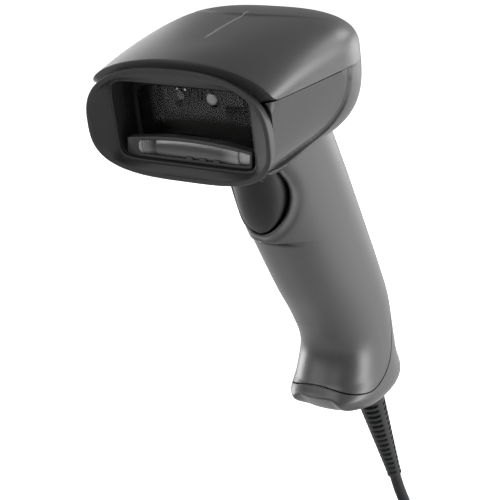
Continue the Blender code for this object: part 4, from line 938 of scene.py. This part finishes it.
def makeTrigger():
    def makeRow(along):
        middleZ, footRows, power = trigger["roundZ"], trigger["footRows"], trigger["roundPower"]
        rise = middleZ - footZ
        if along < footRows:
            z = middleZ - rise * cos(along / footRows * pi / 2)
        else:
            z = blend(middleZ, crownZ, (along - footRows) / (1 - footRows))
        face = stationsAt(trigger["stations"], min(max(z, footZ), crownZ))[0]
        off = (middleZ - z) / rise if z < middleZ else (z - middleZ) / trigger["crownRise"]
        share = max(1e-3, (1 - min(1.0, off) ** power) ** (1 / power))  # an egg in section
        depth = trigger["depth"] * max(trigger["footDeep"], share**2)

        def place(across):
            angle = trigger["sweepFrom"] + trigger["sweep"] * across
            x, back = roundedPoint(angle, trigger["half"] * share, depth, trigger["power"])
            return (x, face + depth + back, z)

        return place

    piece = gridPiece("triggerShell", trigger["columns"], trigger["rows"], makeRow)
    faceOut(mergeDoubles(piece), trigger["inside"])
    wallInside(piece, trigger["wall"], use_even_offset=True)
    long, barrels = trigger["barrelLength"], []
    for side in (-1, 1):
        middle = side * (trigger["half"] - trigger["barrelIn"] - long / 2)
        barrel = addRod("triggerBarrel", trigger["barrelSides"], trigger["barrelRadius"], long,
                        location=(middle, *trigger["pivot"][1:]), rotation=(0, pi / 2, 0))
        barrels.append(bevelSharp(barrel, trigger["barrelEdge"], 2))
    piece = joinPieces("triggerShell", piece, *barrels)
    dress(smooth(piece), "trigger", "trigger_grey", "trigger", body="trigger")


def mouthOff(z):
    # height from the middle of the trigger's mouth, as a share of its length that way
    off = z - trigger["roundZ"]
    return off / trigger["mouthRise"] if off > 0 else -off / trigger["mouthDrop"]


def mouthDistance(x, z):
    # how far a point of the grip lies outside the trigger's mouth, seen from the front
    power = trigger["mouthPower"]
    away = ((abs(x) / trigger["mouthHalf"]) ** power + mouthOff(z) ** power) ** (1 / power)
    return (away - 1) * hypot(x, z - trigger["roundZ"]) / max(away, 1e-6)


def mouthHalf(z):
    power = trigger["mouthPower"]
    return trigger["mouthHalf"] * (1 - min(1.0, mouthOff(z)) ** power) ** (1 / power)


# grip shell: from the trigger's mouth back to the seam
grip = dict(
    columns=90, crowd=1.35, lipRise=0.0006, lipAt=0.0007, lipWide=0.0009, valley=0.0005,
    valleyAt=0.0026, valleyWide=0.0010, run=0.012, edge=0.0004, armSoft=0.0010,
    arms=(  # height, and how far forward the arms beside the trigger reach
        (0.0200, -0.0460), (0.0285, -0.0405), (0.0315, -0.0374), (0.0340, -0.0360), (0.0385, -0.0340),
        (0.0450, -0.0334), (0.0500, -0.0346), (0.0545, -0.0374), (0.0660, -0.0430),
    ),
    inside=(0.0, -0.005, 0.01), archRows=20, hollowRows=16, shaftRows=40, ledgeRows=40, mouthRows=40,
    neckRows=20,
)


def gripHeights():
    low, arch = (handle[name] + handle["seam"] / 2 for name in ("seamLowZ", "seamFrontZ"))
    tall, run = trigger["mouthDrop"], grip["run"]
    mouthFoot = trigger["roundZ"] - tall
    heights = [blend(low, arch, share**2) for share in shares(grip["archRows"], 0)[:-1]]
    heights += [blend(arch, arch + run, share**1.5) for share in shares(grip["hollowRows"], 0)]
    heights += [blend(arch + run, mouthFoot - run, share) for share in shares(grip["shaftRows"])]
    start = heights[-1]
    heights += [blend(start, mouthFoot, 1 - (1 - share) ** 1.3) for share in shares(grip["ledgeRows"])]
    heights += [trigger["roundZ"] - tall * cos(pi / 2 * share) for share in shares(grip["mouthRows"])]
    heights += [blend(trigger["roundZ"], neckZ, share) for share in shares(grip["neckRows"])]
    return heights


def makeGrip():
    heights = gripHeights()
    count = len(heights) - 1
    shift = -handle["seam"] / 2
    armsFrom = grip["arms"][0][0]

    def makeRow(along):
        z = heights[round(along * count)]
        section = handleSection(z)
        edge = max(mouthHalf(z), seamWidth(z, shift))
        end = seamAngle(z, shift)
        start = -pi / 2
        if edge > 1e-6:
            start = min(end, solve(lambda angle: section(angle)[0] - edge, -pi / 2, 0.0))

        def place(across):
            angle = blend(start, end, across ** grip["crowd"])
            x, y = section(angle)
            if across == 0.0 and edge <= 1e-6:
                x = 0.0
            away = mouthDistance(x, z)
            lip = grip["lipRise"] * bell(away - grip["lipAt"], grip["lipWide"])
            lip -= grip["valley"] * bell(away - grip["valleyAt"], grip["valleyWide"])
            if z > armsFrom:  # the arms beside the trigger are cut back
                limit = stationsAt(grip["arms"], z)[0]
                y = (y + limit + hypot(y - limit, grip["armSoft"])) / 2
            out = lip * ease(-sin(angle) * 2.0)
            return (max(0.0, x + out * cos(angle) if x > 1e-6 else x), y + out * sin(angle), z)

        return place

    piece = mirrorHalf(mergeDoubles(gridPiece("gripShell", grip["columns"], count, makeRow)))
    faceOut(mergeDoubles(piece), grip["inside"])
    wallInside(piece, handle["wall"], use_even_offset=True)
    bevelSharp(piece, grip["edge"], 3, 50, lambda spot: spot.z < handle["edgeTop"])
    dress(smooth(piece, 35), "grip", "grip_grey", "grip_shell")


# rear shell: the base and the strip up the back
rear = dict(
    columns=100, frontShare=0.6, stripCrowd=1.6, floorRows=18, wallRows=10, stripRows=120,
    ridgeY=-0.0166, ridgeZ=-0.0402, lensFall=(-0.813, -0.585), lensOut=0.0010, lensHalf=0.0058,
    lensBlend=0.0052, lensSwell=0.0010, swellHalf=0.0085, lensSoft=0.0012, edge=0.0003, screwX=0.0104,
    screwY=-0.0068, sinkRadius=0.0026, sinkTop=-0.0466, outletRadius=0.0058, cutLength=0.02,
    inside=(0.0, 0.006, -0.02), sinkSides=40, outletSides=64,
)


def baseRelief(x, y, z):
    # the front of the base is cut slantwise, which leaves a lens between two lobes
    fallY, fallZ = rear["lensFall"]
    ahead = (y - rear["ridgeY"]) * fallY + (z - rear["ridgeZ"]) * fallZ - rear["lensOut"]
    ahead -= rear["lensSwell"] * max(0.0, 1 - (x / rear["swellHalf"]) ** 2)
    cut = (ahead + hypot(ahead, rear["lensSoft"])) / 2
    cut *= 1 - ease((abs(x) - rear["lensHalf"]) / rear["lensBlend"])
    return (x, y - cut * fallY, z - cut * fallZ)


def makeRear():
    shift = handle["seam"] / 2
    low = handle["seamLowZ"] - shift
    cornerAngle = solve(lambda angle: handleSection(low)(angle)[0] - handle["seamHalf"], -pi / 2, 0.0)
    radius, steps, share = handle["baseRound"], rear["floorRows"], rear["frontShare"]
    levels = [(baseZ, step / steps) for step in range(steps)]
    for step in range(steps + 1):
        levels.append((baseZ + radius * (1 - cos(pi / 2 * step / steps)), 1.0))

    def basePlace(row, across):
        if across <= share:
            angle = blend(-pi / 2, cornerAngle, across / share)
        else:
            angle = blend(cornerAngle, pi / 2, (across - share) / (1 - share))
        if row < len(levels):
            z, scale = levels[row]
        else:
            top = low
            if across < share:  # the seam rises in an arch over the front
                for _ in range(12):
                    top = seamHeight(handleSection(top)(angle)[0], shift)
            z, scale = blend(levels[-1][0], top, (row - len(levels) + 1) / rear["wallRows"]), 1.0
        section = handleSection(z)
        x, y = section(angle)
        middle = (section(-pi / 2)[1] + section(pi / 2)[1]) / 2
        x, y, z = baseRelief(x * scale, blend(middle, y, scale), z)
        return (0.0 if across in (0.0, 1.0) else x, y, z)

    def stripRow(along):
        z = blend(low, neckZ, along ** rear["stripCrowd"])
        section = handleSection(z)
        first = cornerAngle if along == 0.0 else max(cornerAngle, seamAngle(z, shift))

        def place(across):
            x, y = section(blend(first, pi / 2, across))
            if along == 0.0:
                x, y, _ = baseRelief(x, y, z)
            return (0.0 if across == 1.0 else x, y, z)

        return place

    base = rowPiece("rearShell", rear["columns"], range(len(levels) + rear["wallRows"]), basePlace)
    strip = gridPiece("rearStrip", round(rear["columns"] * (1 - share)), rear["stripRows"], stripRow)
    piece = mirrorHalf(mergeDoubles(joinPieces("rearShell", base, strip), 6e-6))
    faceOut(mergeDoubles(piece), rear["inside"])
    wallInside(piece, handle["wall"], use_even_offset=True)
    bevelSharp(piece, rear["edge"], 3, 50, lambda spot: spot.z < handle["edgeTop"])
    long = rear["cutLength"]
    sinkZ = rear["sinkTop"] - long / 2
    cutters = []
    for x in (-rear["screwX"], rear["screwX"]):
        spot = (x, rear["screwY"], sinkZ)
        cutters.append(addRod("screwSink", rear["sinkSides"], rear["sinkRadius"], long, location=spot))
    outlet = addRod("cordOutlet", rear["outletSides"], rear["outletRadius"], long)
    cutAway(piece, *cutters, turnPiece(outlet, cordAxis))
    dress(smooth(piece, 35), "grip", "grip_grey", "rear_shell")


makers = {"cover": makeCover, "housing": makeHousing, "bezel": makeBezel, "trigger": makeTrigger,
          "grip": makeGrip, "rear shell": makeRear}
for stage, make in makers.items():
    make()
    print(stage, "made")

# strain relief: a taper with slots, turn and turn about
relief = dict(
    topRadius=0.0055, endRadius=0.0029, neck=0.0037, length=0.051, shoulder=0.004, taperFrom=0.006,
    taperEnd=0.009, firstSlot=0.0098, pitch=0.00272, slots=15, slotWide=0.00120, slotDeep=0.0013,
    slotTurn=radians(-64.0), slotHalf=radians(34.0), slotSoft=radians(10), slotReach=1.25, slotEase=0.5,
    endShare=0.62, endRound=0.0005, tipFrom=0.0006, tip=(0.0005, 0.0002, 0.00005, 0.0), steps=16,
    columns=120,
)


def slotDepth(angle, down):
    along = (down - relief["firstSlot"]) / relief["pitch"]
    depth = 0.0
    for phase, quarter in ((0.0, 0.0), (0.5, pi / 2)):
        index = round(along - phase)
        if not 0 <= index < relief["slots"]:
            continue
        off = abs(along - phase - index) * relief["pitch"] / (relief["slotWide"] / 2)
        turn = (angle - relief["slotTurn"] - quarter + pi / 2) % pi - pi / 2
        inside = ease((relief["slotReach"] - off) / relief["slotEase"])
        depth = max(depth, inside * ease((relief["slotHalf"] - abs(turn)) / relief["slotSoft"]))
    return depth


def makeRelief():
    end, pitch, first = relief["length"], relief["pitch"], relief["firstSlot"]
    count = relief["steps"] * relief["slots"]
    run = (relief["slots"] + 0.5) * pitch
    downs = [-relief["neck"], relief["shoulder"], first - pitch]
    downs += [first - pitch / 2 + run * index / count for index in range(count + 1)]
    downs = [down for down in downs if down < end - relief["tipFrom"]]
    downs += [end - before for before in relief["tip"]]
    rows = [(downs[0], True), *((down, False) for down in downs), (end, True)]  # both ends close

    def place(row, across):
        down, closed = row
        share = unit((down - relief["taperFrom"]) / (end - relief["taperEnd"]))
        angle = 2 * pi * across
        radius = blend(relief["topRadius"], relief["endRadius"], share)
        radius -= relief["endRound"] * ease((down - end + relief["endRound"]) / relief["endRound"])
        deep = slotDepth(angle, down) * relief["slotDeep"] * blend(1.0, relief["endShare"], share)
        reach = 1e-6 if closed else max(1e-6, radius - deep)
        return (reach * cos(angle), reach * sin(angle), -down)

    piece = mergeDoubles(rowPiece("strainRelief", relief["columns"], rows, place), 4e-6)
    recalcFaces(turnPiece(piece, cordAxis))
    dress(smooth(piece, 45), "relief", "cord_slate", "strain_relief")


makeRelief()
print("strain relief made")

# light strip along the crown of the cover
strip = dict(
    front=-0.0524, rear=-0.0284, half=0.00045, proud=0.00005, deep=0.0004, taper=22, narrow=0.25,
    inside=(0.0, -0.04, 0.08), grid=(8, 60),
)


def makeStrip():
    def makeRow(along):
        y = blend(strip["front"], strip["rear"], along)
        crown = headSize(y)[1] - cover["plateau"] * (1 - plateauShare(0.0, y))
        end = min(1.0, min(along, 1 - along) * strip["taper"])

        def place(across):
            x = strip["half"] * (2 * across - 1)
            arch = strip["proud"] * (1 - (2 * across - 1) ** 2) * end
            return (x * max(strip["narrow"], sqrt(end)), y, crown + arch)

        return place

    piece = faceOut(gridPiece("statusStrip", *strip["grid"], makeRow), strip["inside"])
    wallInside(piece, strip["deep"], use_even_offset=True)
    dress(smooth(piece), "strip", "diffuser_grey", "status_light")


makeStrip()

# light bar and its frame at the foot of the opening
tray = dict(
    front=-0.069, depth=0.003, half=0.0246, topZ=0.0742, crown=0.002, rim=0.0011, lift=0.0003,
    block=0.0052, edge=0.00025, barDepth=0.0016, barProud=0.0006, barSunk=0.0003, barGap=0.0002, ribs=7,
    ribFrom=-0.0186, ribTo=-0.0122, ribDeep=0.00045, ribSoft=0.0004, endLong=0.0042, endSoft=0.0003,
    endDeep=0.0005, tabs=(0.0004, 0.0056, 0.0108), tabHalf=0.0013, tabTall=0.0010, tabDeep=0.0012,
    tabEdge=0.0002, tabBack=0.0003, tabLow=0.0001, insideZ=0.071, frameColumns=120, barGrid=(240, 24),
)


def trayFoot(x, inset):
    power = bezel["openPower"]
    share = (1 - min(1.0, abs(x) / bezel["openHalf"]) ** power) ** (1 / power)
    return bezel["openMidZ"] - (bezel["openTall"] - tray["lift"] - inset) * share


def trayTop(x, inset):
    return tray["topZ"] - inset + tray["crown"] * (1 - (x / tray["half"]) ** 2)


def makeTrayFrame():
    front, back = tray["front"], tray["front"] + tray["depth"]
    half, rim = tray["half"], tray["rim"]
    outer = (-half, half, 0.0)
    inner = (-half + tray["block"], half - rim, rim)
    rows = [(back, outer), (front, outer), (front, inner), (back, inner), (back, outer)]

    def place(row, across):
        # a closed ring: along the foot, then back along the top
        y, (left, right, inset) = row
        across = across if across < 1.0 else 0.0
        if across < 0.5:
            x = blend(left, right, across * 2)
            return (x, y, trayFoot(x, inset))
        x = blend(right, left, across * 2 - 1)
        return (x, y, trayTop(x, inset))

    piece = recalcFaces(mergeDoubles(rowPiece("lightBarFrame", tray["frameColumns"], rows, place)))
    bevelSharp(piece, tray["edge"], 2, 50)
    tall, tabs = tray["tabTall"], []
    for x in tray["tabs"]:
        middle = (x, front + tray["tabBack"], trayFoot(x, rim) + tall / 2 - tray["tabLow"])
        tab = addBlock("frameTab", middle, (2 * tray["tabHalf"], tray["tabDeep"], tall))
        tabs.append(bevelSharp(tab, tray["tabEdge"], 2))
    piece = joinPieces("lightBarFrame", piece, *tabs)
    dress(smooth(piece), "chip", "bezel_grey", "light_bar_frame")


def makeLightBar():
    gap, ribFrom, ribTo, soft = tray["barGap"], tray["ribFrom"], tray["ribTo"], tray["ribSoft"]
    left, right = -tray["half"] + tray["block"] + gap, tray["half"] - tray["rim"] - gap
    front, back = tray["front"] + tray["barSunk"], tray["front"] + tray["barDepth"]

    def place(across, along):
        x = blend(left, right, across)
        z = blend(trayFoot(x, tray["rim"] + gap), trayTop(x, tray["rim"] + gap), along)
        swell = tray["barProud"] * (1 - (2 * along - 1) ** 2)
        ribbed = ease((x - ribFrom) / soft) * ease((ribTo - x) / soft)
        wave = cos(2 * pi * tray["ribs"] * (x - ribFrom) / (ribTo - ribFrom))
        ends = ease((x - right + tray["endLong"]) / tray["endSoft"]) * tray["endDeep"]
        return (x, front - swell + ribbed * tray["ribDeep"] * (0.5 + 0.5 * wave) + ends, z)

    piece = formPiece("lightBar", *tray["barGrid"], place)
    wallInside(faceOut(piece, (0.0, back, tray["insideZ"])), back - front, use_even_offset=True)
    dress(smooth(piece), "diffuser", "diffuser_grey", "light_bar")


makeTrayFrame()
makeLightBar()
print("light bar made")

# base foot: an oval pad with a rolled edge
foot = dict(
    y=0.0045, half=0.0075, depth=0.0044, top=-0.0508, low=-0.0523, edge=0.0002, rim=0.0009, dish=0.0003,
    deep=0.0002, sides=72,
)


def makeFoot():
    deselectAll()
    bpy.ops.mesh.primitive_circle_add(vertices=foot["sides"], radius=1.0, fill_type="NGON")
    piece = named(bpy.context.object, "baseFoot")
    with editing(piece):
        bpy.ops.transform.resize(value=(foot["half"], foot["depth"], 1.0))
        bpy.ops.transform.translate(value=(0, foot["y"], foot["top"]))
        extrude(foot["low"] - foot["top"])
        bpy.ops.mesh.inset(thickness=foot["rim"], depth=0.0)
        bpy.ops.mesh.inset(thickness=foot["dish"], depth=-foot["deep"])
    bevelSharp(recalcFaces(piece), foot["edge"], 3, 60)
    dress(smooth(piece), "rubber", "rubber_black", "base_foot")


makeFoot()

# plug on the far end of the cord
plug = dict(
    gap=0.0003, neck=0.009, grip=(0.0150, 0.0085, 0.0230), gripRound=0.0016, gripEnd=0.0012,
    gripPower=4.0, endTuck=0.35, shell=(0.0120, 0.0045, 0.0150), shellWall=0.0004, shellEdge=0.0005,
    edgeReach=0.4, window=(0.0022, 0.0026), windowY=0.0029, windowAt=0.42, neckRadius=0.0034,
    sleeve=0.0006, slots=4, slotDeep=0.0004, ribs=5, ribDeep=0.0003, ribFrom=0.3, ribTo=0.75,
    ribHalf=0.32, neckRows=14, roundRows=8, gripRows=40, endRows=6, columns=88,
)
plugAxis = Matrix.Translation(cordEnd) @ Matrix.Rotation(cordRoute["end"] - radians(90), 4, "Y")


def makePlugGrip():
    wide, thick, long = plug["grip"]
    gap, neck, neckRadius = plug["gap"], plug["neck"], plug["neckRadius"]
    rounding, ending, power, tuck = (plug[key] for key in ("gripRound", "gripEnd", "gripPower", "endTuck"))
    top, low = -gap - neck, -gap - neck - long
    # rows: height, scale, power of the outline, stage: cord (0), neck (1), full grip (2)
    rows = [(-gap, 0.0, 2.0, 0.0), (-gap, 1.0, 2.0, 0.0)]
    rows += [(-gap - neck * share, 1.0, 2.0, share) for share in shares(plug["neckRows"])[:-1]]
    for turn in (pi / 2 * share for share in shares(plug["roundRows"], 0)):
        rows.append((top - rounding * (1 - cos(turn)), 1.0, power, 1.0 + sin(turn)))
    for share in shares(plug["gripRows"])[:-1]:
        rows.append((blend(top - rounding, low + ending, share), 1.0, power, 2.0))
    for turn in (pi / 2 * share for share in shares(plug["endRows"], 0)):
        rows.append((low + ending * (1 - sin(turn)), 1.0, power, 2.0 - tuck * (1 - cos(turn))))
    rows.append((low, 0.0, power, 2.0 - tuck))

    def place(row, across):
        z, scale, fullPower, stage = row
        if stage <= 1.0:
            wave = 0.5 - 0.5 * cos(2 * pi * plug["slots"] * stage)
            slot = plug["slotDeep"] * wave if 0 < stage < 1 else 0.0
            x = y = blend(cordRoute["diameter"] / 2 + plug["sleeve"], neckRadius, stage) - slot
            shape = 2.0
        else:
            x, y = (blend(neckRadius, size / 2, stage - 1) for size in (thick, wide))
            shape = blend(2.0, fullPower, stage - 1)
        px, py = roundedPoint(2 * pi * across, x, y, shape)
        down, ridge = (top - z) / long, 0.0
        if plug["ribFrom"] < down < plug["ribTo"] and abs(py) < wide * plug["ribHalf"]:
            turns = plug["ribs"] * (down - plug["ribFrom"]) / (plug["ribTo"] - plug["ribFrom"])
            ridge = plug["ribDeep"] * (0.5 + 0.5 * cos(2 * pi * turns))
        return ((px - copysign(ridge, px)) * scale, py * scale, z)

    piece = turnPiece(mergeDoubles(rowPiece("plugGrip", plug["columns"], rows, place)), plugAxis)
    return dress(smooth(recalcFaces(piece)), "relief", "cord_slate", "usb_grip")


def makePlugShell():
    wide, thick, long = plug["shell"]
    top = -plug["gap"] * 2 - plug["neck"] - plug["grip"][2]
    middle = top - long / 2
    piece = addBlock("plugShell", (0, 0, middle), (thick, wide, long))
    reach = long * plug["edgeReach"]
    bevelSharp(piece, plug["shellEdge"], 3, 50, lambda spot: abs(spot.z - middle) < reach)
    with editing(piece):
        pickItems(piece, "FACE", lambda face: face.normal.z < -0.9)
        bpy.ops.mesh.inset(thickness=plug["shellWall"], depth=0.0)
        extrude(long - 2 * plug["shellWall"])
        bpy.ops.mesh.select_mode(type="VERT")
    at = top - long * plug["windowAt"]
    cutAway(piece, *(addBlock("plugWindow", (0, side * plug["windowY"], at), (thick * 2, *plug["window"]))
                     for side in (-1, 1)))
    return dress(smooth(turnPiece(piece, plugAxis)), "steel", "steel", "usb_shell")


plugGrip = makePlugGrip()
plugShell = makePlugShell()
print("plug made")

# tie round the coil
tie = dict(
    angle=radians(58.0), width=0.008, thick=0.0012, slack=0.0006, power=7.2, roll=0.0003, rollPower=6,
    grid=(96, 16),
)


def makeTie(route):
    radius, layers = route["diameter"] / 2, route["layers"]
    tall = route["pitch"] * coilSweep / layers / (4 * pi) + radius + tie["slack"]
    deep = route["pitch"] * (layers - 1) / 2 + radius + tie["slack"]
    middleY = route["coilRear"] - route["pitch"] * (layers - 1) / 2

    def place(across, along):
        out = tie["thick"] - tie["roll"] * abs(2 * along - 1) ** tie["rollPower"]
        y, z = roundedPoint(2 * pi * across, deep + out, tall + out, tie["power"])
        return (tie["width"] * (along - 0.5), y, z + route["coilRadius"])

    piece = mergeDoubles(formPiece("coilTie", *tie["grid"], place))
    wallInside(faceOut(piece, (0.0, 0.0, route["coilRadius"])), tie["thick"], use_even_offset=True)
    onCoil = Matrix.Translation((0, middleY, route["coilZ"]))
    turnPiece(piece, onCoil @ Matrix.Rotation(tie["angle"], 4, "Y"))
    return dress(smooth(piece), "rubber", "rubber_black", "coil_tie")


tiePiece = makeTie(cordRoute)
tuple(cordExit)
print("cord dressed")

# optics seen through the opening; a dome has its radius, flatness and stem
engine = dict(
    plate=((-0.0125, -0.0590, 0.0845), (0.0165, -0.0582, 0.0902)), plateEdge=0.0002,
    holder=((-0.0095, -0.0595, 0.0848), (-0.0042, -0.0588, 0.0894)), holderEdge=0.0003,
    fins=(-0.0031, -0.0019, -0.0007, 0.0005, 0.0017), finHalf=0.0003, finLow=(-0.0594, 0.0853),
    finHigh=(-0.0586, 0.0897), finEdge=0.0001, lens=(-0.0069, -0.0594, 0.0869), lensRadius=0.0017,
    lensRing=0.0004, ringThick=0.0003, aimer=(0.0046, -0.0586, 0.0863), aimerDome=(0.0020, 0.5, 0.0014),
    lensDome=(0.15, 0.0004), glintDome=(0.00035, 0.6, 0.0003),
    paintedGlints=((-0.0081, -0.0595, 0.0888), (-0.0051, -0.0595, 0.0887)), maskY=(-0.0614, -0.0611),
    maskMidZ=0.0802, maskHalf=(0.0253, 0.0115), maskWide=0.0018, maskPower=8.0, maskColumns=160,
)


def makeBlock(name, low, high, edge):
    middle = [(start + end) / 2 for start, end in zip(low, high)]
    return bevelSharp(addBlock(name, middle, [end - start for start, end in zip(low, high)]), edge, 2)


def makeDome(name, spot, radius, flat, stem, segments=48):
    # a flattened half ball on a short stem, turned to look out of the nose
    deselectAll()
    bpy.ops.mesh.primitive_uv_sphere_add(segments=segments, ring_count=segments // 2, radius=radius)
    piece = named(bpy.context.object, name)
    with editing(piece):
        bpy.ops.mesh.bisect(plane_co=(0, 0, 0), plane_no=(0, 0, 1), clear_inner=True)
        bpy.ops.mesh.select_all(action="SELECT")
        bpy.ops.transform.resize(value=(1, 1, flat))
        bpy.ops.mesh.select_all(action="DESELECT")
        bpy.ops.mesh.select_non_manifold()
        extrude(-stem)
        bpy.ops.mesh.edge_face_add()
    turnPiece(piece, Matrix.Translation(spot) @ Matrix.Rotation(pi / 2, 4, "X"))
    return smooth(recalcFaces(piece))


def makeEngineFace():
    parts = [makeBlock("enginePlate", *engine["plate"], engine["plateEdge"]),
             makeBlock("lensHolder", *engine["holder"], engine["holderEdge"])]
    for x in engine["fins"]:
        low, high = (x - engine["finHalf"], *engine["finLow"]), (x + engine["finHalf"], *engine["finHigh"])
        parts.append(makeBlock("engineFin", low, high, engine["finEdge"]))
    deselectAll()
    bpy.ops.mesh.primitive_torus_add(
        major_radius=engine["lensRadius"] + engine["lensRing"], minor_radius=engine["ringThick"],
        major_segments=48, minor_segments=12, location=engine["lens"], rotation=(pi / 2, 0, 0))
    parts.append(applied("lensRing"))
    dress(smooth(joinPieces("engineFace", *parts)), "black", "chip_black")


def makeShadeMask():
    # black rim that hides the edge of the window: painted shade, a dark sheet standing in for the shade
    # inside the nose
    near, far = engine["maskY"]
    wide, (half, tall) = engine["maskWide"], engine["maskHalf"]
    rows = [(far, 0.0), (near, 0.0), (near, wide), (far, wide), (far, 0.0)]

    def place(row, across):
        y, inset = row
        x, up = roundedPoint(2 * pi * across, half - inset, tall - inset, engine["maskPower"])
        return (x, y, engine["maskMidZ"] + up)

    piece = recalcFaces(mergeDoubles(rowPiece("windowShadeMask", engine["maskColumns"], rows, place)))
    dress(smooth(piece), "black", "optic_black")


makeEngineFace()
makeShadeMask()
aimer = makeDome("aimerLens", engine["aimer"], *engine["aimerDome"])
dress(aimer, "aimer", "led_white", "aimer_lens")
window = makeDome("cameraWindow", engine["lens"], engine["lensRadius"], *engine["lensDome"])
dress(window, "lens", "optic_black")
# painted highlights: two small white domes on the camera cluster stand in for the glints of light on it
paintedGlints = [makeDome("glintDot", spot, *engine["glintDome"], 16) for spot in engine["paintedGlints"]]
dress(joinPieces("glintDots", *paintedGlints), "whiteAndGlint", "led_white")
print("optics made")

# CAD nodes that stay in view or inside keep their shape and get a finish
kept = {
    "glass": ("exit_window", "camera_lens"),
    "clear": ("cable_plug",),
    "black": ("optics_shroud", "camera_barrel", "engine_housing"),
    "chip": ("beeper", "cable_jack", "image_sensor", "switch_body", "usb_tongue"),
    "whiteAndGlint": ("illumination_led_left", "illumination_led_right", "switch_plunger"),
    "board": ("main_board", "handle_board", "imager_board", "led_board"),
    "flex": ("imager_flex", "board_link"),
    "steel": ("base_screw_1", "base_screw_2", "board_screw_1", "board_screw_2", "board_screw_3",
              "board_screw_4", "shield_can", "trigger_pin", "trigger_spring"),
}
for finishName, nodeNames in kept.items():
    for nodeName in nodeNames:
        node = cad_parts[nodeName]
        node.data.materials.clear()
        node.data.materials.append(finishes[finishName])
print("kept nodes dressed")

# floor, backdrop and light
studio = dict(
    floorZ=cadBox[0].z - 0.002, floorSize=8.0, floor=(0.82, 0.82, 0.82, 1.0), floorRough=0.9,
    floorGlow=0.85, ambient=0.13, inGloss=0.35, aimY=-0.01,
)
white = (1, 1, 1, 1)


def seenShare(tree):
    # the white surround, seen by the camera, through glass and, dimmer, in a gloss
    path = tree.nodes.new("ShaderNodeLightPath").outputs
    gloss = mathNode(tree, "MULTIPLY", path["Is Glossy Ray"], studio["inGloss"])
    clear = mathNode(tree, "MAXIMUM", path["Is Camera Ray"], path["Is Transmission Ray"])
    return mathNode(tree, "MAXIMUM", clear, gloss)


def makeFloor():
    deselectAll()
    bpy.ops.mesh.primitive_plane_add(size=studio["floorSize"], location=(0, 0, studio["floorZ"]))
    floor = named(bpy.context.object, "studioFloor")
    material = bpy.data.materials.new("studioFloor")
    material.use_nodes = True
    paint(material, Base_Color=studio["floor"], Roughness=studio["floorRough"])
    tree = material.node_tree
    strength = mathNode(tree, "MULTIPLY", seenShare(tree), studio["floorGlow"])
    glow = addNode(tree, "Emission", Color=white, Strength=strength).outputs[0]
    both = addNode(tree, "AddShader", i0=tree.nodes["Principled BSDF"].outputs[0], i1=glow)
    tree.links.new(both.outputs[0], tree.nodes["Material Output"].inputs[0])
    floor.data.materials.append(material)


def makeWorld():
    world = bpy.data.worlds.new("studio")
    scene.world = world
    world.use_nodes = True
    tree = world.node_tree
    strength = mapRange(tree, seenShare(tree), To_Min=studio["ambient"], To_Max=1.0)
    setInputs(tree, tree.nodes["Background"], dict(Color=white, Strength=strength))


lamps = (  # name, place, height that it aims at, size, power
    ("rightBox", (0.84, 0.475, 0.272), 0.03, (0.5, 0.5), 11.0),
    ("rightLow", (0.98, -0.01, -0.075), 0.03, (0.5, 0.29), 6.4),
    ("backLow", (0.2, 0.95, -0.075), 0.03, (0.5, 0.29), 2.0),
    ("leftLow", (-0.98, -0.01, -0.075), 0.03, (0.5, 0.29), 5.2),
    ("leftBack", (-0.84, 0.475, 0.272), 0.03, (0.5, 0.5), 2.0),
    ("backTop", (0.27, 0.85, 0.46), 0.03, (0.4, 0.3), 2.9),
    ("frontTop", (0, -0.753, 0.70), 0.03, (0.5, 0.5), 3.2),
    ("frontStrip", (-0.5, -0.64, 0.38), 0.0, (0.14, 0.4), 1.5),
)


def addLamps():
    for name, place, aimZ, size, power in lamps:
        bpy.ops.object.light_add(type="AREA", location=place)
        light = bpy.context.object
        light.name = name
        aim = Vector((0, studio["aimY"], aimZ)) - Vector(place)
        light.rotation_euler = aim.to_track_quat("-Z", "Y").to_euler()
        light.data.shape = "RECTANGLE"
        light.data.size, light.data.size_y = size
        light.data.energy = power


makeFloor()
makeWorld()
addLamps()
print("studio lit")
